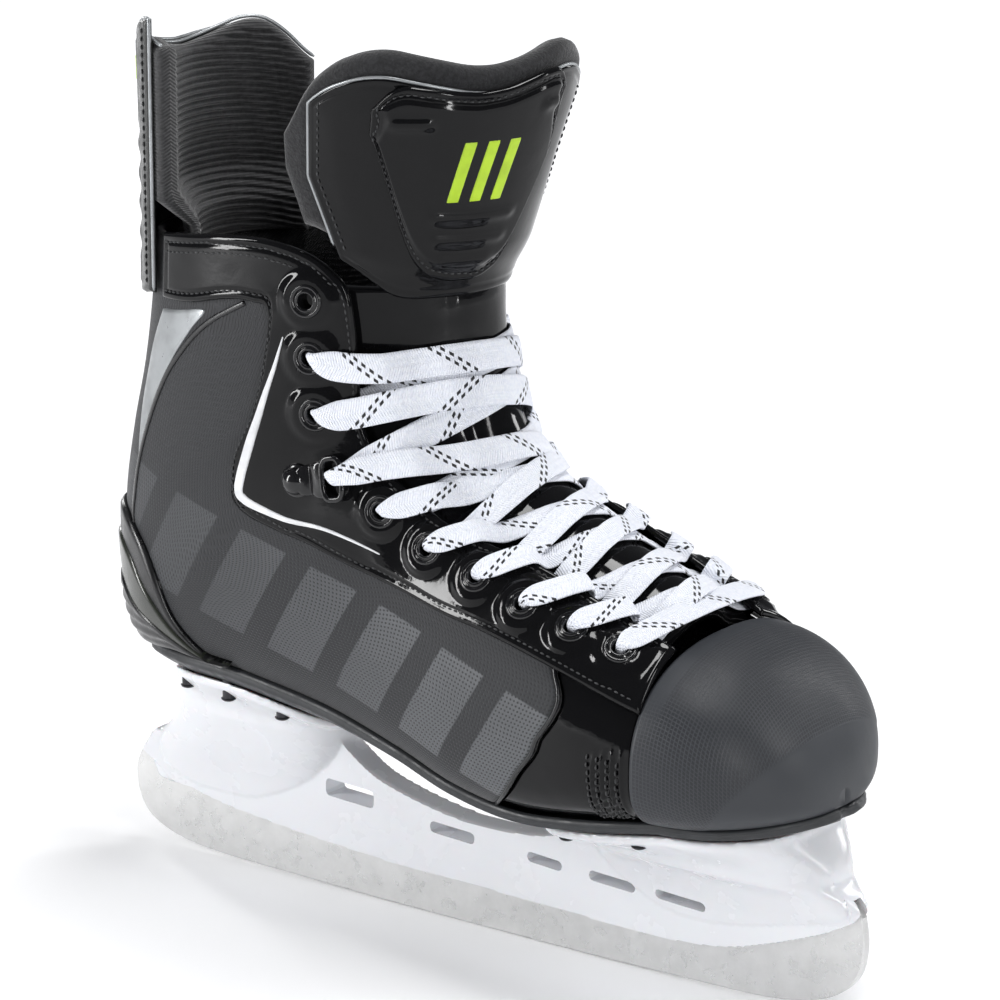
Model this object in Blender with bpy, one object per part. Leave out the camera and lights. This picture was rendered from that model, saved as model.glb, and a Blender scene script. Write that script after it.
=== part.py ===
"""Adult ice hockey skate, right foot: steel runner, plastic holder, laced boot with tongue and tendon guard.

Frame: +X to the toe, +Z up, -Y the outer side. The origin is on the runner's flat, under mid-blade.
Lengths in the tables are millimetres; every mesh is written in metres.
"""
import math

import bpy
import bmesh
import numpy as np
from mathutils import Vector

MM = 0.001
GAP = 0.3                    # clearance between neighbouring pieces
LATERAL, MEDIAL = -1, 1      # the sides of the boot, as signs of Y

# ---- runner and holder ----
BLADE_THICK = 3.2
HOLDER_WALL = 3.0
SLOT_WIDTH = BLADE_THICK + 2 * GAP
RAIL_HALF = 4.6
STUD_X = (-98.0, 88.0)       # the two places where the runner is held
STUD_R = 3.0
RIVET_R, RIVET_HEAD_R = 2.0, 3.4

# ---- boot ----
SOLE_OFF = (.4, 3.8)          # outsole, below the boot's surface
HEEL_ROUND = 11.3            # the section where the sole starts to round off to the heel
HEEL_SEAT_Z = 79.0           # the footbed's flat heel
SHELL = (-2.0, 0.0)          # quarter shells, inner and outer height over the boot's surface
FACING = (0.5, 2.2)          # eyestays, patches and heel counter
CAP = (-1.2, 0.9)
LINER = (-8.5, -3.0)
TONGUE_THICK = 5.0
PHI_SOLE = 0.2               # where the side walls meet the sole

# ---- fastening ----
EYELET_R, EYELET_HOLE_R, EYELET_BARREL_R = 4.4, 2.3, 3.1
EYELET_SEAT, EYELET_TOP, EYELET_FOOT = 3.0, 3.8, 0.1
LACE_WIDTH, LACE_THICK = 6.0, 1.1

# Sections of the boot from the toe cap's edge to the collar: sole or back point (x, z), instep or front
# point (x, z), where along that line it is widest, half width, and how square the lower and upper parts are.
SECTIONS = [
    (85, 58.5, 85, 110.5, .40, 47.0, 3.0, 2.3),
    (60, 54.5, 62, 121, .40, 48.0, 3.5, 2.4),
    (35, 51.5, 40, 131, .41, 46.0, 3.7, 2.5),
    (10, 53, 22, 140, .43, 43.0, 3.5, 2.5),
    (-15, 58, 9, 149.5, .46, 39.5, 3.2, 2.4),
    (-45, 63, 3, 160, .48, 38.0, 2.8, 2.3),
    (-80, 67, 0, 171, .50, 39.0, 2.7, 2.2),
    (-107, 69, -1.5, 179, .50, 39.5, 2.6, 2.2),
    (-126, 76, -2.5, 186, .50, 40.0, 2.4, 2.2),
    (-133, 95, -3, 192, .50, 40.5, 2.2, 2.2),
    (-133, 118, -3, 198, .48, 41.0, 2.2, 2.2),
    (-128.5, 142, -3.5, 203, .46, 41.0, 2.2, 2.2),
    (-122.5, 165, -4, 208, .44, 41.0, 2.2, 2.2),
    (-118.5, 189, -4.5, 213, .42, 40.5, 2.2, 2.2),
    (-116.5, 214, -5, 218, .42, 40.0, 2.2, 2.2),
]
NOSE_STEPS = 5               # sections that close the toe, ahead of the table
NOSE_X, NOSE_LENGTH, NOSE_FRONT_Z, NOSE_SOLE_RISE = 85.0, 41.0, 70.0, 7.0

# Seen from the side (x, z): the facing's lower and rear edge, and its edge along the tongue and the collar.
FACING_LOWER = [(-95, 192), (-82, 193), (-68, 196), (-58, 196.5), (-52, 194), (-54, 177), (-58, 161),
                (-65, 147), (-67, 138), (-64.5, 132), (-52, 127.5), (-26, 121), (5, 114), (29, 110), (55, 104),
                (79, 97)]
FACING_UPPER = [(-95, 212), (-82, 214), (-68.5, 215.5), (-55, 216), (-44, 214.4), (-36.6, 211.5), (-31.4, 207.6),
                (-27.7, 202.8), (-26, 194), (-25, 184), (-24.4, 171.7), (-16.2, 152.7), (.7, 139.3), (24, 131),
                (44, 124.7), (79, 110.4)]
EYELETS = [(-39, 199), (-38, 182), (-36.5, 165), (-13.5, 138), (4, 129), (22.5, 123.5), (39.5, 118), (56, 113.5),
           (71, 109)]
HOOK_RIVET, HOOK_RING = (-42, 144), (-29.5, 146)
HOOK_LEVEL = (4.3, 5.4)      # under and upper face of the lace hook, over the boot


def nose_sections():
    """The toe's sections, from the tip back: an ellipse in plan and in side view over an upright front."""
    rows = []
    _, sole, _, top, widest, width, low, high = SECTIONS[0]
    for step in range(NOSE_STEPS):
        turn = math.pi / 2 * (1 - step / NOSE_STEPS)
        x = NOSE_X + NOSE_LENGTH * math.sin(turn)
        along = (x - NOSE_X + 9) / (NOSE_LENGTH + 9)
        half = width * max(0.0, 1 - along ** 2.4) ** (1 / 2.4)
        crown = NOSE_FRONT_Z + (top - NOSE_FRONT_Z) * max(0.0, 1 - math.sin(turn) ** 2.2) ** .6
        low_z = sole + NOSE_SOLE_RISE * math.sin(turn) ** 2
        rows.append((x, low_z, x, crown, widest, half, low, high))
    return rows


TABLE = np.array(nose_sections() + SECTIONS, float)
LAST = len(TABLE) - 1        # the collar's section


def section(s):
    """The section at s, a smooth curve through the table's rows."""
    s = min(max(s, 0.0), LAST)
    i = min(int(s), LAST - 1)
    t = s - i
    a, b, c, d = TABLE[max(i - 1, 0)], TABLE[i], TABLE[i + 1], TABLE[min(i + 2, LAST)]
    row = .5 * (2 * b + (c - a) * t + (2 * a - 5 * b + 4 * c - d) * t ** 2 + (3 * b - 3 * c + d - a) * t ** 3)
    row[5] = max(row[5], 0.0)
    return row


def on_boot(s, phi):
    """A point of the boot's surface in mm: phi is 0 at the sole or back and 1 at the instep; its Y is outward."""
    bx, bz, tx, tz, widest, half, low, high = section(s)
    turn = phi * math.pi
    cos, sin = math.cos(turn), max(math.sin(turn), 0.0)
    power = 2 / (low if cos > 0 else high)
    reach = abs(cos) ** power
    along = widest - widest * reach if cos > 0 else widest + (1 - widest) * reach
    return np.array([bx + (tx - bx) * along, half * sin ** power, bz + (tz - bz) * along])


def boot_normal(s, phi):
    s, phi = min(max(s, .04), LAST - .01), min(max(phi, .004), .996)
    ds, dp = .02, .003
    across = on_boot(s + ds, phi) - on_boot(s - ds, phi)
    up = on_boot(s, phi + dp) - on_boot(s, phi - dp)
    normal = np.cross(across, up)
    return normal / np.linalg.norm(normal)


def boot(s, phi, side, off=0.0):
    point = on_boot(s, abs(phi)) + off * boot_normal(s, abs(phi))
    middle = s <= 0 or abs(phi) in (0, 1)
    point[1] = 0.0 if middle else max(point[1], 0.0)
    return point * (1, side, 1)


def boot_direction(s, phi, side):
    return boot_normal(s, phi) * (1, side, 1)


def found(target, seen, start, off=0.0):
    """The (s, phi) where the surface's two coordinates in seen meet target, stepped to from start."""
    s, phi = start

    def at(s, phi):
        return (on_boot(s, phi) + off * boot_normal(s, phi))[seen]

    for _ in range(14):
        here = at(s, phi)
        ds = (at(s + .01, phi) - here) / .01
        dp = (at(s, phi + .002) - here) / .002
        step = np.linalg.lstsq(np.stack([ds, dp], 1), np.array(target) - here, rcond=None)[0]
        s = min(max(s + np.clip(step[0], -.5, .5), 0.0), LAST - .001)
        phi = min(max(phi + np.clip(step[1], -.05, .05), .01), .985)
    return np.array([s, phi])


def side_point(x, z):
    """The (s, phi) of the boot's surface seen at (x, z) from the side."""
    best = min(((s, phi) for s in np.arange(1, LAST + .01, .5) for phi in np.arange(.1, .99, .04)),
               key=lambda at: np.hypot(*(on_boot(*at)[[0, 2]] - (x, z))))
    return found((x, z), [0, 2], best)


def underside(x, y, off):
    """Height of the boot's rounded underside at (x, y), off outward from its surface."""
    start = float(np.interp(-x, -TABLE[1:13, 0], range(1, 13)))
    s, phi = found((x, abs(y)), [0, 1], (start, .12), off)
    return float(boot(s, phi, 1, off)[2])


def resampled(points, count):
    """count points along a polyline, evenly spaced in its own index."""
    points = np.array(points, float)
    at = np.linspace(0, len(points) - 1, count)
    return np.stack([np.interp(at, range(len(points)), points[:, k]) for k in range(points.shape[1])], 1)


def material(name, colour, roughness, metallic=0.0):
    made = bpy.data.materials.get(name)
    if made is None:
        made = bpy.data.materials.new(name)
        made.use_nodes = True
        shader = made.node_tree.nodes["Principled BSDF"]
        shader.inputs["Base Color"].default_value = (*colour, 1)
        shader.inputs["Roughness"].default_value = roughness
        shader.inputs["Metallic"].default_value = metallic
    return made


def steel():
    return material("steel", (.62, .62, .62), .32, 1.0)


def white_plastic():
    return material("white_plastic", (.86, .87, .90), .35)


def patent():
    return material("patent", (.006, .006, .007), .08)


def black_plastic():
    return material("black_plastic", (.012, .012, .013), .25)


def textile():
    return material("textile", (.035, .038, .042), .8)


def cap_rubber():
    return material("cap_rubber", (.035, .038, .043), .55)


def sole_plastic():
    return material("sole_plastic", (.04, .042, .045), .5)


def knit():
    return material("knit", (.012, .012, .013), .9)


def felt():
    return material("felt", (.008, .008, .009), .95)


def lace_fabric():
    return material("lace_fabric", (.80, .82, .90), .8)


def foam():
    return material("foam", (.02, .02, .022), .9)


def add(name, mesh, look, origin=(0, 0, 0), parent=None):
    """A named object with its mesh's points, given in the world, moved to its own origin."""
    origin = Vector(origin)
    for vert in mesh.verts:
        vert.co -= origin
    bmesh.ops.recalc_face_normals(mesh, faces=mesh.faces)
    data = bpy.data.meshes.new(name)
    mesh.to_mesh(data)
    mesh.free()
    data.materials.append(look)
    made = bpy.data.objects.new(name, data)
    bpy.context.scene.collection.objects.link(made)
    made.location = origin
    data.shade_smooth()
    data.set_sharp_from_angle(angle=math.radians(35))
    if parent:
        made.parent = parent
        made.matrix_parent_inverse = parent.matrix_world.inverted()
    return made


def pivot(name, place):
    """An empty on a joint's axis."""
    made = bpy.data.objects.new(name, None)
    bpy.context.scene.collection.objects.link(made)
    made.location = Vector(place) * MM
    bpy.context.view_layer.update()
    return made


def between(inner, outer):
    """A closed solid between two grids of points (mm) alike in rows and columns; points that meet are welded."""
    rows, cols = len(outer), len(outer[0])
    known, index = {}, {}
    for i in range(rows):
        for j in range(cols):
            key = tuple(np.round(outer[i][j], 3) + 0.0)
            index[i, j] = known.setdefault(key, (i, j))
    mesh = bmesh.new()
    low = {at: mesh.verts.new(np.asarray(inner[at[0]][at[1]]) * MM) for at in known.values()}
    high = {at: mesh.verts.new(np.asarray(outer[at[0]][at[1]]) * MM) for at in known.values()}
    uses = {}
    for i in range(rows - 1):
        for j in range(cols - 1):
            loop = [index[i, j], index[i + 1, j], index[i + 1, j + 1], index[i, j + 1]]
            loop = [at for k, at in enumerate(loop) if at != loop[k - 1]]
            if len(loop) < 3:
                continue
            mesh.faces.new([high[at] for at in loop])
            mesh.faces.new([low[at] for at in loop[::-1]])
            for k, at in enumerate(loop):
                edge = (loop[k - 1], at)
                uses[frozenset(edge)] = None if frozenset(edge) in uses else edge
    for edge in uses.values():
        if edge:
            a, b = edge
            mesh.faces.new([low[a], low[b], high[b], high[a]])
    bmesh.ops.triangulate(mesh, faces=mesh.faces)
    return mesh


def shell(where, offsets):
    """A boot panel: where is a grid of (s, phi, side), offsets its inner and outer height over the surface."""
    return between(*([[boot(s, phi, side, off) for s, phi, side in row] for row in where] for off in offsets))


def prism(outline, half, y=0.0):
    """An outline in (x, z), mm, made 2*half thick along Y."""
    mesh = bmesh.new()
    near = [mesh.verts.new(Vector((x, y - half, z)) * MM) for x, z in outline]
    far = [mesh.verts.new(Vector((x, y + half, z)) * MM) for x, z in outline]
    mesh.faces.new(near)
    mesh.faces.new(far[::-1])
    for i, j in zip(range(len(outline)), [*range(1, len(outline)), 0]):
        mesh.faces.new([near[i], far[i], far[j], near[j]])
    return mesh


def turned(profile, centre, direction, sides=12):
    """A ring or solid turned about direction from a closed (radius, height) profile, in mm."""
    mesh = bmesh.new()
    frame = Vector(direction).to_track_quat("Z", "Y").to_matrix()
    rings = []
    for k in range(sides):
        turn = 2 * math.pi * k / sides
        ring = []
        for radius, height in profile:
            local = Vector((radius * math.cos(turn), radius * math.sin(turn), height))
            ring.append(mesh.verts.new((frame @ local + Vector(centre)) * MM))
        rings.append(ring)
    count = len(profile)
    for k in range(sides):
        a, b = rings[k], rings[(k + 1) % sides]
        for i in range(count):
            j = (i + 1) % count
            if profile[i][0] or profile[j][0]:
                mesh.faces.new([a[i], b[i], b[j], a[j]])
    bmesh.ops.remove_doubles(mesh, verts=mesh.verts, dist=1e-6)
    loose = [edge for edge in mesh.edges if not edge.link_faces]
    bmesh.ops.delete(mesh, geom=loose, context="EDGES")
    return mesh


def rod(centre, direction, radius, low, high, sides=10):
    return turned([(0, low), (radius, low), (radius, high), (0, high)], centre, direction, sides)


def cut(target, mesh, name, operation="DIFFERENCE", solver="EXACT"):
    """Cuts or joins a mesh with an object and applies it."""
    tool = add(name, mesh, target.data.materials[0])
    modifier = target.modifiers.new(name, "BOOLEAN")
    modifier.operation = operation
    modifier.solver = solver
    modifier.object = tool
    bpy.context.view_layer.update()
    done = bpy.data.meshes.new_from_object(target.evaluated_get(bpy.context.evaluated_depsgraph_get()))
    target.modifiers.clear()
    target.data = done
    bpy.data.objects.remove(tool)


# ---------------------------------------------------------------- runner and holder
BLADE_OUTLINE = [(-139, 31), (-142, 24), (-141, 15), (-136, 8), (-124, 3.2), (-105, 1.2), (-70, .5), (-35, 0),
                 (35, 0), (70, .5), (100, 1.2), (116, 3.5), (127, 8), (133.5, 15), (135.5, 24), (134.5, 33)]
RAIL_LOWER = [(-137.5, 31), (-114, 21.5), (-81, 17), (-33, 14), (6, 13.5), (61, 12.5), (85, 14), (101, 18),
              (121, 26), (135.5, 32)]
BRIDGE_UPPER = [(133, 39), (120, 36.6), (52, 36.6), (44, 41), (38, 44), (33, 41.5), (24, 36), (0, 34), (-20, 36),
                (-40, 41), (-52, 48), (-58, 53), (-64, 47), (-72, 36.6), (-120, 36.6), (-131, 40)]
WINDOWS = [(-61, -42, 30.5, 37), (-20, -3, 27, 31.5), (17, 30, 25.5, 29.5), (40, 57, 24.5, 28.5),
           (65, 83, 24.5, 28.5)]
TAB_TOP = 33.0
TOWER_FLOOR = 37.0
# Tower sections: height, rear x, front x, half width; the two flange sections follow the sole.
REAR_TOWER = [(22, -133, -74, 4.8), (30, -135.5, -68, 6.2), (38, -131, -62, 9), (45, -124, -57, 12),
              (54, -119, -53, 16), (None, -115, -49, 26)]
FRONT_TOWER = [(20, 50, 104, 4.8), (27, 46, 121, 6), (33, 43, 134, 8.5), (38, 40, 132, 12),
               (42, 36, 127, 18), (None, 30, 119, 32)]
FLANGE_THICK = 2.6


def holder_top(x, y):
    """The flanges' upper face, under the rounded sole."""
    return underside(x, y, SOLE_OFF[1] + 2 * GAP)


def tower_ring(height, rear, front, half, inset=0.0, drop=0.0, sides=22):
    """One closed section of a tower, a rounded oblong; without a height it follows the sole."""
    middle, length = (rear + front) / 2, (front - rear) / 2 - inset
    half = half - inset
    ring = []
    for k in range(sides):
        turn = 2 * math.pi * k / sides
        cos, sin = math.cos(turn), math.sin(turn)
        x = middle + length * math.copysign(abs(cos) ** .7, cos)
        y = half * math.copysign(abs(sin) ** .7, sin)
        z = height if height is not None else holder_top(x, y) - drop
        ring.append((x, y, z))
    return ring


def tower(sections):
    """A hollow tower, open at the top: rings up the outside, over the rim, and down the inside to the floor."""
    rings = [tower_ring(*row) for row in sections[:-1]]
    rings.append(tower_ring(*sections[-1], drop=FLANGE_THICK))
    rings.append(tower_ring(*sections[-1]))
    hollow = [row for row in sections if row[0] is None or row[0] > TOWER_FLOOR]
    inner = [(None, *hollow[-1][1:])] + hollow[-2::-1]
    for row in inner:
        rings.append(tower_ring(*row, inset=HOLDER_WALL if row[0] else HOLDER_WALL + 3))
    last = inner[-1]
    rings.append(tower_ring(TOWER_FLOOR, *last[1:], inset=HOLDER_WALL))
    mesh = bmesh.new()
    made = [[mesh.verts.new(Vector(p) * MM) for p in ring] for ring in rings]
    for a, b in zip(made, made[1:]):
        for k in range(len(a)):
            j = (k + 1) % len(a)
            mesh.faces.new([a[k], a[j], b[j], b[k]])
    mesh.faces.new(made[0][::-1])
    mesh.faces.new(made[-1])
    return mesh


def make_blade():
    outline = BLADE_OUTLINE + [(x, z + 6.5) for x, z in RAIL_LOWER[::-1][1:-1]]
    blade = add("blade", prism(outline, BLADE_THICK / 2), steel())
    for k, x in enumerate(STUD_X):
        foot = 20 if x < 0 else 16
        tab = [(x - 6, foot), (x + 6, foot), (x + 6, TAB_TOP), (x - 6, TAB_TOP)]
        cut(blade, prism(tab, BLADE_THICK / 2), f"tab_{k}", "UNION")
    return blade


def make_holder():
    outline = RAIL_LOWER + BRIDGE_UPPER
    holder = add("holder", prism(outline, RAIL_HALF), white_plastic())
    cut(holder, tower(REAR_TOWER), "rear_tower", "UNION")
    cut(holder, tower(FRONT_TOWER), "front_tower", "UNION")
    for k, (x0, x1, z0, z1) in enumerate(WINDOWS):
        cut(holder, prism([(x0, z0 + .8), (x1, z0), (x1, z1 - .8), (x0, z1)], 20), f"window_{k}")
    slot = [(x, z - 8) for x, z in RAIL_LOWER]
    slot[0], slot[-1] = (-150, 20), (150, 20)
    slot += [(150, 39), *[(x, z + 7) for x, z in RAIL_LOWER[::-1][1:-1]], (-150, 38)]
    cut(holder, prism(slot, SLOT_WIDTH / 2), "slot")
    for k, x in enumerate(STUD_X):
        pocket = [(x - 7, 18), (x + 7, 18), (x + 7, TAB_TOP + GAP), (x - 7, TAB_TOP + GAP)]
        cut(holder, prism(pocket, SLOT_WIDTH / 2), f"tab_pocket_{k}")
        cut(holder, rod((x, 0, 0), (0, 0, 1), STUD_R + GAP, 28, TOWER_FLOOR + 4), f"stud_hole_{k}")
    return holder


def rivet_places():
    places = []
    for x, y in ((-103, 20.5), (-84, 23.5), (-65, 20.5)):
        places += [(x, y), (x, -y)]
    for x, y in ((46, 24), (75, 28.5), (102.5, 23)):
        places += [(x, y), (x, -y)]
    return places


def make_fixings(holder, outsole):
    """The studs over the runner's tabs, their nuts, and the rivets through flange and sole."""
    for x, name in zip(STUD_X, ("rear", "front")):
        stud = add(f"blade_stud_{name}", rod((x, 0, 0), (0, 0, 1), STUD_R, 28.3, 45), steel())
        fork = [(x - 7, 20), (x + 7, 20), (x + 7, TAB_TOP + GAP), (x - 7, TAB_TOP + GAP)]
        cut(stud, prism(fork, BLADE_THICK / 2 + GAP), f"fork_{name}")
        ring = [(STUD_R + .8, 37.3), (5.8, 37.3), (5.8, 42), (STUD_R + .8, 42)]
        add(f"blade_nut_{name}", turned(ring, (x, 0, 0), (0, 0, 1), 6), steel())
    for k, (x, y) in enumerate(rivet_places()):
        under = min(holder_top(x + dx, abs(y) + dy) for dx in (-3, 3) for dy in (-3, 3)) - FLANGE_THICK
        top = underside(x, y, SOLE_OFF[0] + 2 * GAP)
        bore = [(0, under - 14), (RIVET_HEAD_R + GAP, under - 14), (RIVET_HEAD_R + GAP, under + GAP),
                (RIVET_R + GAP, under + GAP), (RIVET_R + GAP, top + 8), (0, top + 8)]
        cut(holder, turned(bore, (x, y, 0), (0, 0, 1), 10), f"seat_{k}", solver="MANIFOLD")
        cut(outsole, rod((x, y, 0), (0, 0, 1), RIVET_R + GAP, under - 12, top + 8, 8), f"bore_{k}")
        head = [(0, under - 1.5), (RIVET_HEAD_R - .6, under - 1.5), (RIVET_HEAD_R, under), (RIVET_R, under),
                (RIVET_R, top), (0, top)]
        add(f"rivet_{k + 1:02d}", turned(head, (x, y, 0), (0, 0, 1), 7), steel())


# ---------------------------------------------------------------- sole
PLATE_COLUMNS = (-1, -.93, -.7, -.35, 0, .35, .7, .93, 1)


def plate(name, look, start, end, reach, offsets, top=None, rows=16):
    """A dished plate along the sole, its heel end rounded; top, if given, levels its upper side."""
    grids = ([], [])
    for s in np.linspace(start, end, rows):
        edge = reach * math.sqrt(max(1 - (max(s - HEEL_ROUND, 0) / (end + .05 - HEEL_ROUND)) ** 2, 0))
        for grid, off in zip(grids, offsets):
            grid.append([boot(s, abs(v) * edge, MEDIAL if v > 0 else LATERAL, off) for v in PLATE_COLUMNS])
        if top:
            grids[1][-1] = [(x, y, top(x)) for x, y, z in grids[0][-1]]
    return add(name, between(*grids), look)


def footbed_top(x):
    return float(np.interp(x, [-120, -60, -20, 10, 40, 60, 85, 115],
                           [HEEL_SEAT_Z, HEEL_SEAT_Z, 73, 66, 65.5, 67.5, 71, 75]))


def make_sole():
    outsole = plate("outsole", sole_plastic(), .25, 12.9, .215, SOLE_OFF)
    plate("insole_board", foam(), 1.5, 12.4, .17, (-4.2, -2.4))
    plate("footbed", felt(), 3.4, 12.2, .15, (-4.8, -4.8), footbed_top)
    return outsole


# ---------------------------------------------------------------- upper
LOWER = [side_point(*p) for p in FACING_LOWER]
UPPER = [side_point(*p) for p in FACING_UPPER]
TONGUE_EDGE = 6              # the first point of FACING_UPPER that runs beside the tongue
CAP_EDGE, CAP_FOOT = 5.05, .235


def facing_phi(s, curve):
    """How far up the boot a facing edge is at s, from the toe to the bend at the ankle."""
    points = sorted((tuple(p) for p in curve), key=lambda p: p[0])
    return float(np.interp(s, [p[0] for p in points], [p[1] for p in points]))


def seam(phi):
    """The s of the seam between vamp patch and quarter at a height on the boot."""
    return float(np.interp(phi, [PHI_SOLE, .46, .53, .6, .66], [7.3, 6.63, 6.2, 6.05, 6.3]))


def quarter_phi(s, v):
    low, high = quarter_low(s), quarter_high(s)
    return low + (high - low) * v


def patch_phi(s, v):
    return PHI_SOLE + (facing_phi(s, LOWER[9:]) + .02 - PHI_SOLE) * v


def on_seam(phi_at, v):
    """Where a line of a panel, a share v of the way up it, meets the seam."""
    s = 6.5
    for _ in range(6):
        s = seam(phi_at(s, v))
    return s


def make_toe_cap():
    spread = np.linspace(CAP_FOOT, 1, 8)
    line = [(phi, LATERAL) for phi in spread] + [(phi, MEDIAL) for phi in spread[-2::-1]]
    rows = [[(s, phi, side) for phi, side in line] for s in np.linspace(0, CAP_EDGE, 10)]
    return add("toe_cap", shell(rows, CAP), cap_rubber())


def quarter_low(s):
    """The quarter's lower edge: the sole's corner, and the back's middle line behind the heel."""
    return float(np.interp(s, [12.0, 13.2], [PHI_SOLE, .012]))


def quarter_high(s):
    """The quarter's upper edge, under the facing: past its lower edge by a seam's width."""
    ankle = [(13.0, .53), (13.6, .53), (14.1, .54), (14.7, .575), (15.8, .595), (17.1, .6), (17.6, .57),
             (18.2, .52), (19, .50)]
    if s < ankle[0][0]:
        return facing_phi(s, LOWER[9:]) + .02
    return float(np.interp(s, [p[0] for p in ankle], [p[1] for p in ankle]))


def make_quarters():
    for side, word in ((LATERAL, "lateral"), (MEDIAL, "medial")):
        rows = []
        for u in np.linspace(0, 1, 20):
            row = []
            for v in np.linspace(0, 1, 8):
                start = on_seam(quarter_phi, v) + .03
                s = start + (18.75 - start) * u
                row.append((s, quarter_phi(s, v), side))
            rows.append(row)
        add(f"quarter_{word}", shell(rows, SHELL), textile())
        rows = []
        for u in np.linspace(0, 1, 5):
            row = []
            for v in np.linspace(0, 1, 7):
                start, end = CAP_EDGE + .04, on_seam(patch_phi, v) - .03
                s = start + (end - start) * u
                row.append((s, patch_phi(s, v), side))
            rows.append(row)
        add(f"vamp_patch_{word}", shell(rows, SHELL), patent())


def strip(side, rows=34, cols=4):
    """The facing and cuff band of one side, between its two edges."""
    low, high = resampled(LOWER, rows), resampled(UPPER, rows)
    return [[(*(a + (b - a) * v), side) for v in np.linspace(0, 1, cols)] for a, b in zip(low, high)]


def place_of(point, side, off=0.0):
    s, phi = side_point(*point)
    return boot(s, phi, side, off), boot_direction(s, phi, side)


def make_facings():
    """Eyestays with the cuff band, their eyelets, and the lace hooks with their rivets."""
    ring = [(EYELET_HOLE_R, EYELET_FOOT), (EYELET_BARREL_R - .3, EYELET_FOOT), (EYELET_BARREL_R - .3, EYELET_SEAT),
            (EYELET_R, EYELET_SEAT), (EYELET_R - .5, EYELET_TOP), (EYELET_HOLE_R, EYELET_TOP)]
    for side, word in ((LATERAL, "lateral"), (MEDIAL, "medial")):
        facing = add(f"eyestay_{word}", shell(strip(side), FACING), patent())
        for k, point in enumerate(EYELETS):
            centre, out = place_of(point, side)
            cut(facing, rod(centre, out, EYELET_BARREL_R, -3, 6, 10), f"hole_{k}")
            add(f"eyelet_{word}_{k + 1}", turned(ring, centre, out, 8), black_plastic())
        centre, out = place_of(HOOK_RIVET, side)
        loop, _ = place_of(HOOK_RING, side, 0)
        cut(facing, rod(centre, out, 1.9, -3, 6, 8), "hook_hole")
        stud = [(0, .6), (1.5, .6), (1.5, 6.5), (3.2, 6.5), (2.2, 7.4), (0, 7.4)]
        add(f"hook_rivet_{word}", turned(stud, centre, out, 8), black_plastic())
        _, over = place_of(HOOK_RING, side)
        hook = add(f"lace_hook_{word}", hook_mesh(Vector(centre), Vector(loop), Vector(out), Vector(over)),
                   black_plastic())
        cut(hook, rod(centre, out, 2.0, 2, 8, 8), "hook_eye")
        cut(hook, slot_mesh(Vector(loop), Vector(loop) - Vector(centre), Vector(over)), "hook_slot")


def flat_frame(toward, out):
    """Unit vectors along and across a flat piece that lies square to out."""
    along = toward - toward.dot(out) * out
    along.normalize()
    return along, out.cross(along)


def slab(outline, centre, along, across, out, low, high):
    """An outline (along, across) made solid between two heights over a point of the boot, in mm."""
    mesh = bmesh.new()
    rings = [[mesh.verts.new((centre + along * x + across * y + out * height) * MM) for x, y in outline]
             for height in (low, high)]
    mesh.faces.new(rings[0][::-1])
    mesh.faces.new(rings[1])
    for k in range(len(outline)):
        j = (k + 1) % len(outline)
        mesh.faces.new([rings[0][k], rings[0][j], rings[1][j], rings[1][k]])
    return mesh


def hook_mesh(centre, loop, out, over):
    """The hook's plate, from the rivet's eye to a wide link over the lace's loop, level over both."""
    level = sum(HOOK_LEVEL) / 2
    toward = (loop + over * level) - (centre + out * level)
    up = (out + over).normalized()
    along, across = flat_frame(toward, (up - up.dot(toward.normalized()) * toward.normalized()).normalized())
    up = along.cross(across)
    reach = toward.length
    edge = [(-4.2, 0), (-3, 3), (0, 4.2), (reach - 4, 6.2), (reach + 2.4, 6.2), (reach + 4, 4.2)]
    outline = edge + [(x, -y) for x, y in edge[:0:-1]]
    half = (HOOK_LEVEL[1] - HOOK_LEVEL[0]) / 2
    return slab(outline, centre + out * level, along, across, up, -half, half)


def slot_mesh(loop, toward, out):
    """The slot in the hook's link, which the lace turns through."""
    along, across = flat_frame(toward, out)
    outline = [(-2.2, -4.8), (2.2, -4.8), (2.2, 4.8), (-2.2, 4.8)]
    return slab(outline, loop, along, across, out, 2.4, 9)


COUNTER_TOP = [(-126, 121), (-115, 117), (-101.5, 101.5), (-93, 85), (-84, 77)]
COUNTER_FOOT = [(13.15, 0), (13.05, .07), (12.85, .13), (12.5, .185), (12.0, .23), (11.2, .24)]
COUNTER = (2.0, 3.4)


def make_heel():
    """The heel counter outside the quarters, and the padded collar lining inside them."""
    top = [np.array([15.1, 0])] + [side_point(*p) for p in COUNTER_TOP]
    low, high = resampled(COUNTER_FOOT, 11), resampled(top, 11)
    half = [[a + (b - a) * u for u in np.linspace(0, 1, 8)] for a, b in zip(low, high)]
    rows = [[(s, phi, LATERAL) for s, phi in line] for line in half[:0:-1]]
    rows += [[(s, phi, MEDIAL) for s, phi in line] for line in half]
    add("heel_counter", shell(rows, COUNTER), material("counter", (.02, .022, .018), .22))
    rows = []
    for v in np.linspace(-1, 1, 17):
        side = LATERAL if v < 0 else MEDIAL
        rows.append([(s, abs(v) * .535, side) for s in np.linspace(13.6, 18.6, 8)])
    add("collar_liner", shell(rows, LINER), knit())


GUARD_PIVOT = (-120.0, 0, 190.0)
GUARD_REACH = .30            # how far forward the guard wraps, as phi
GUARD_TOP = [(0, 263), (.35, 266), (.7, 272), (.9, 277), (1, 276)]
GUARD_LOW = [(0, 189), (.6, 189), (1, 193)]
LINER_LOW = [(0, 217.5), (1, 217.5)]
LINER_HIGH = [(0, 262), (.35, 265), (.7, 270), (1, 268)]


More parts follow.
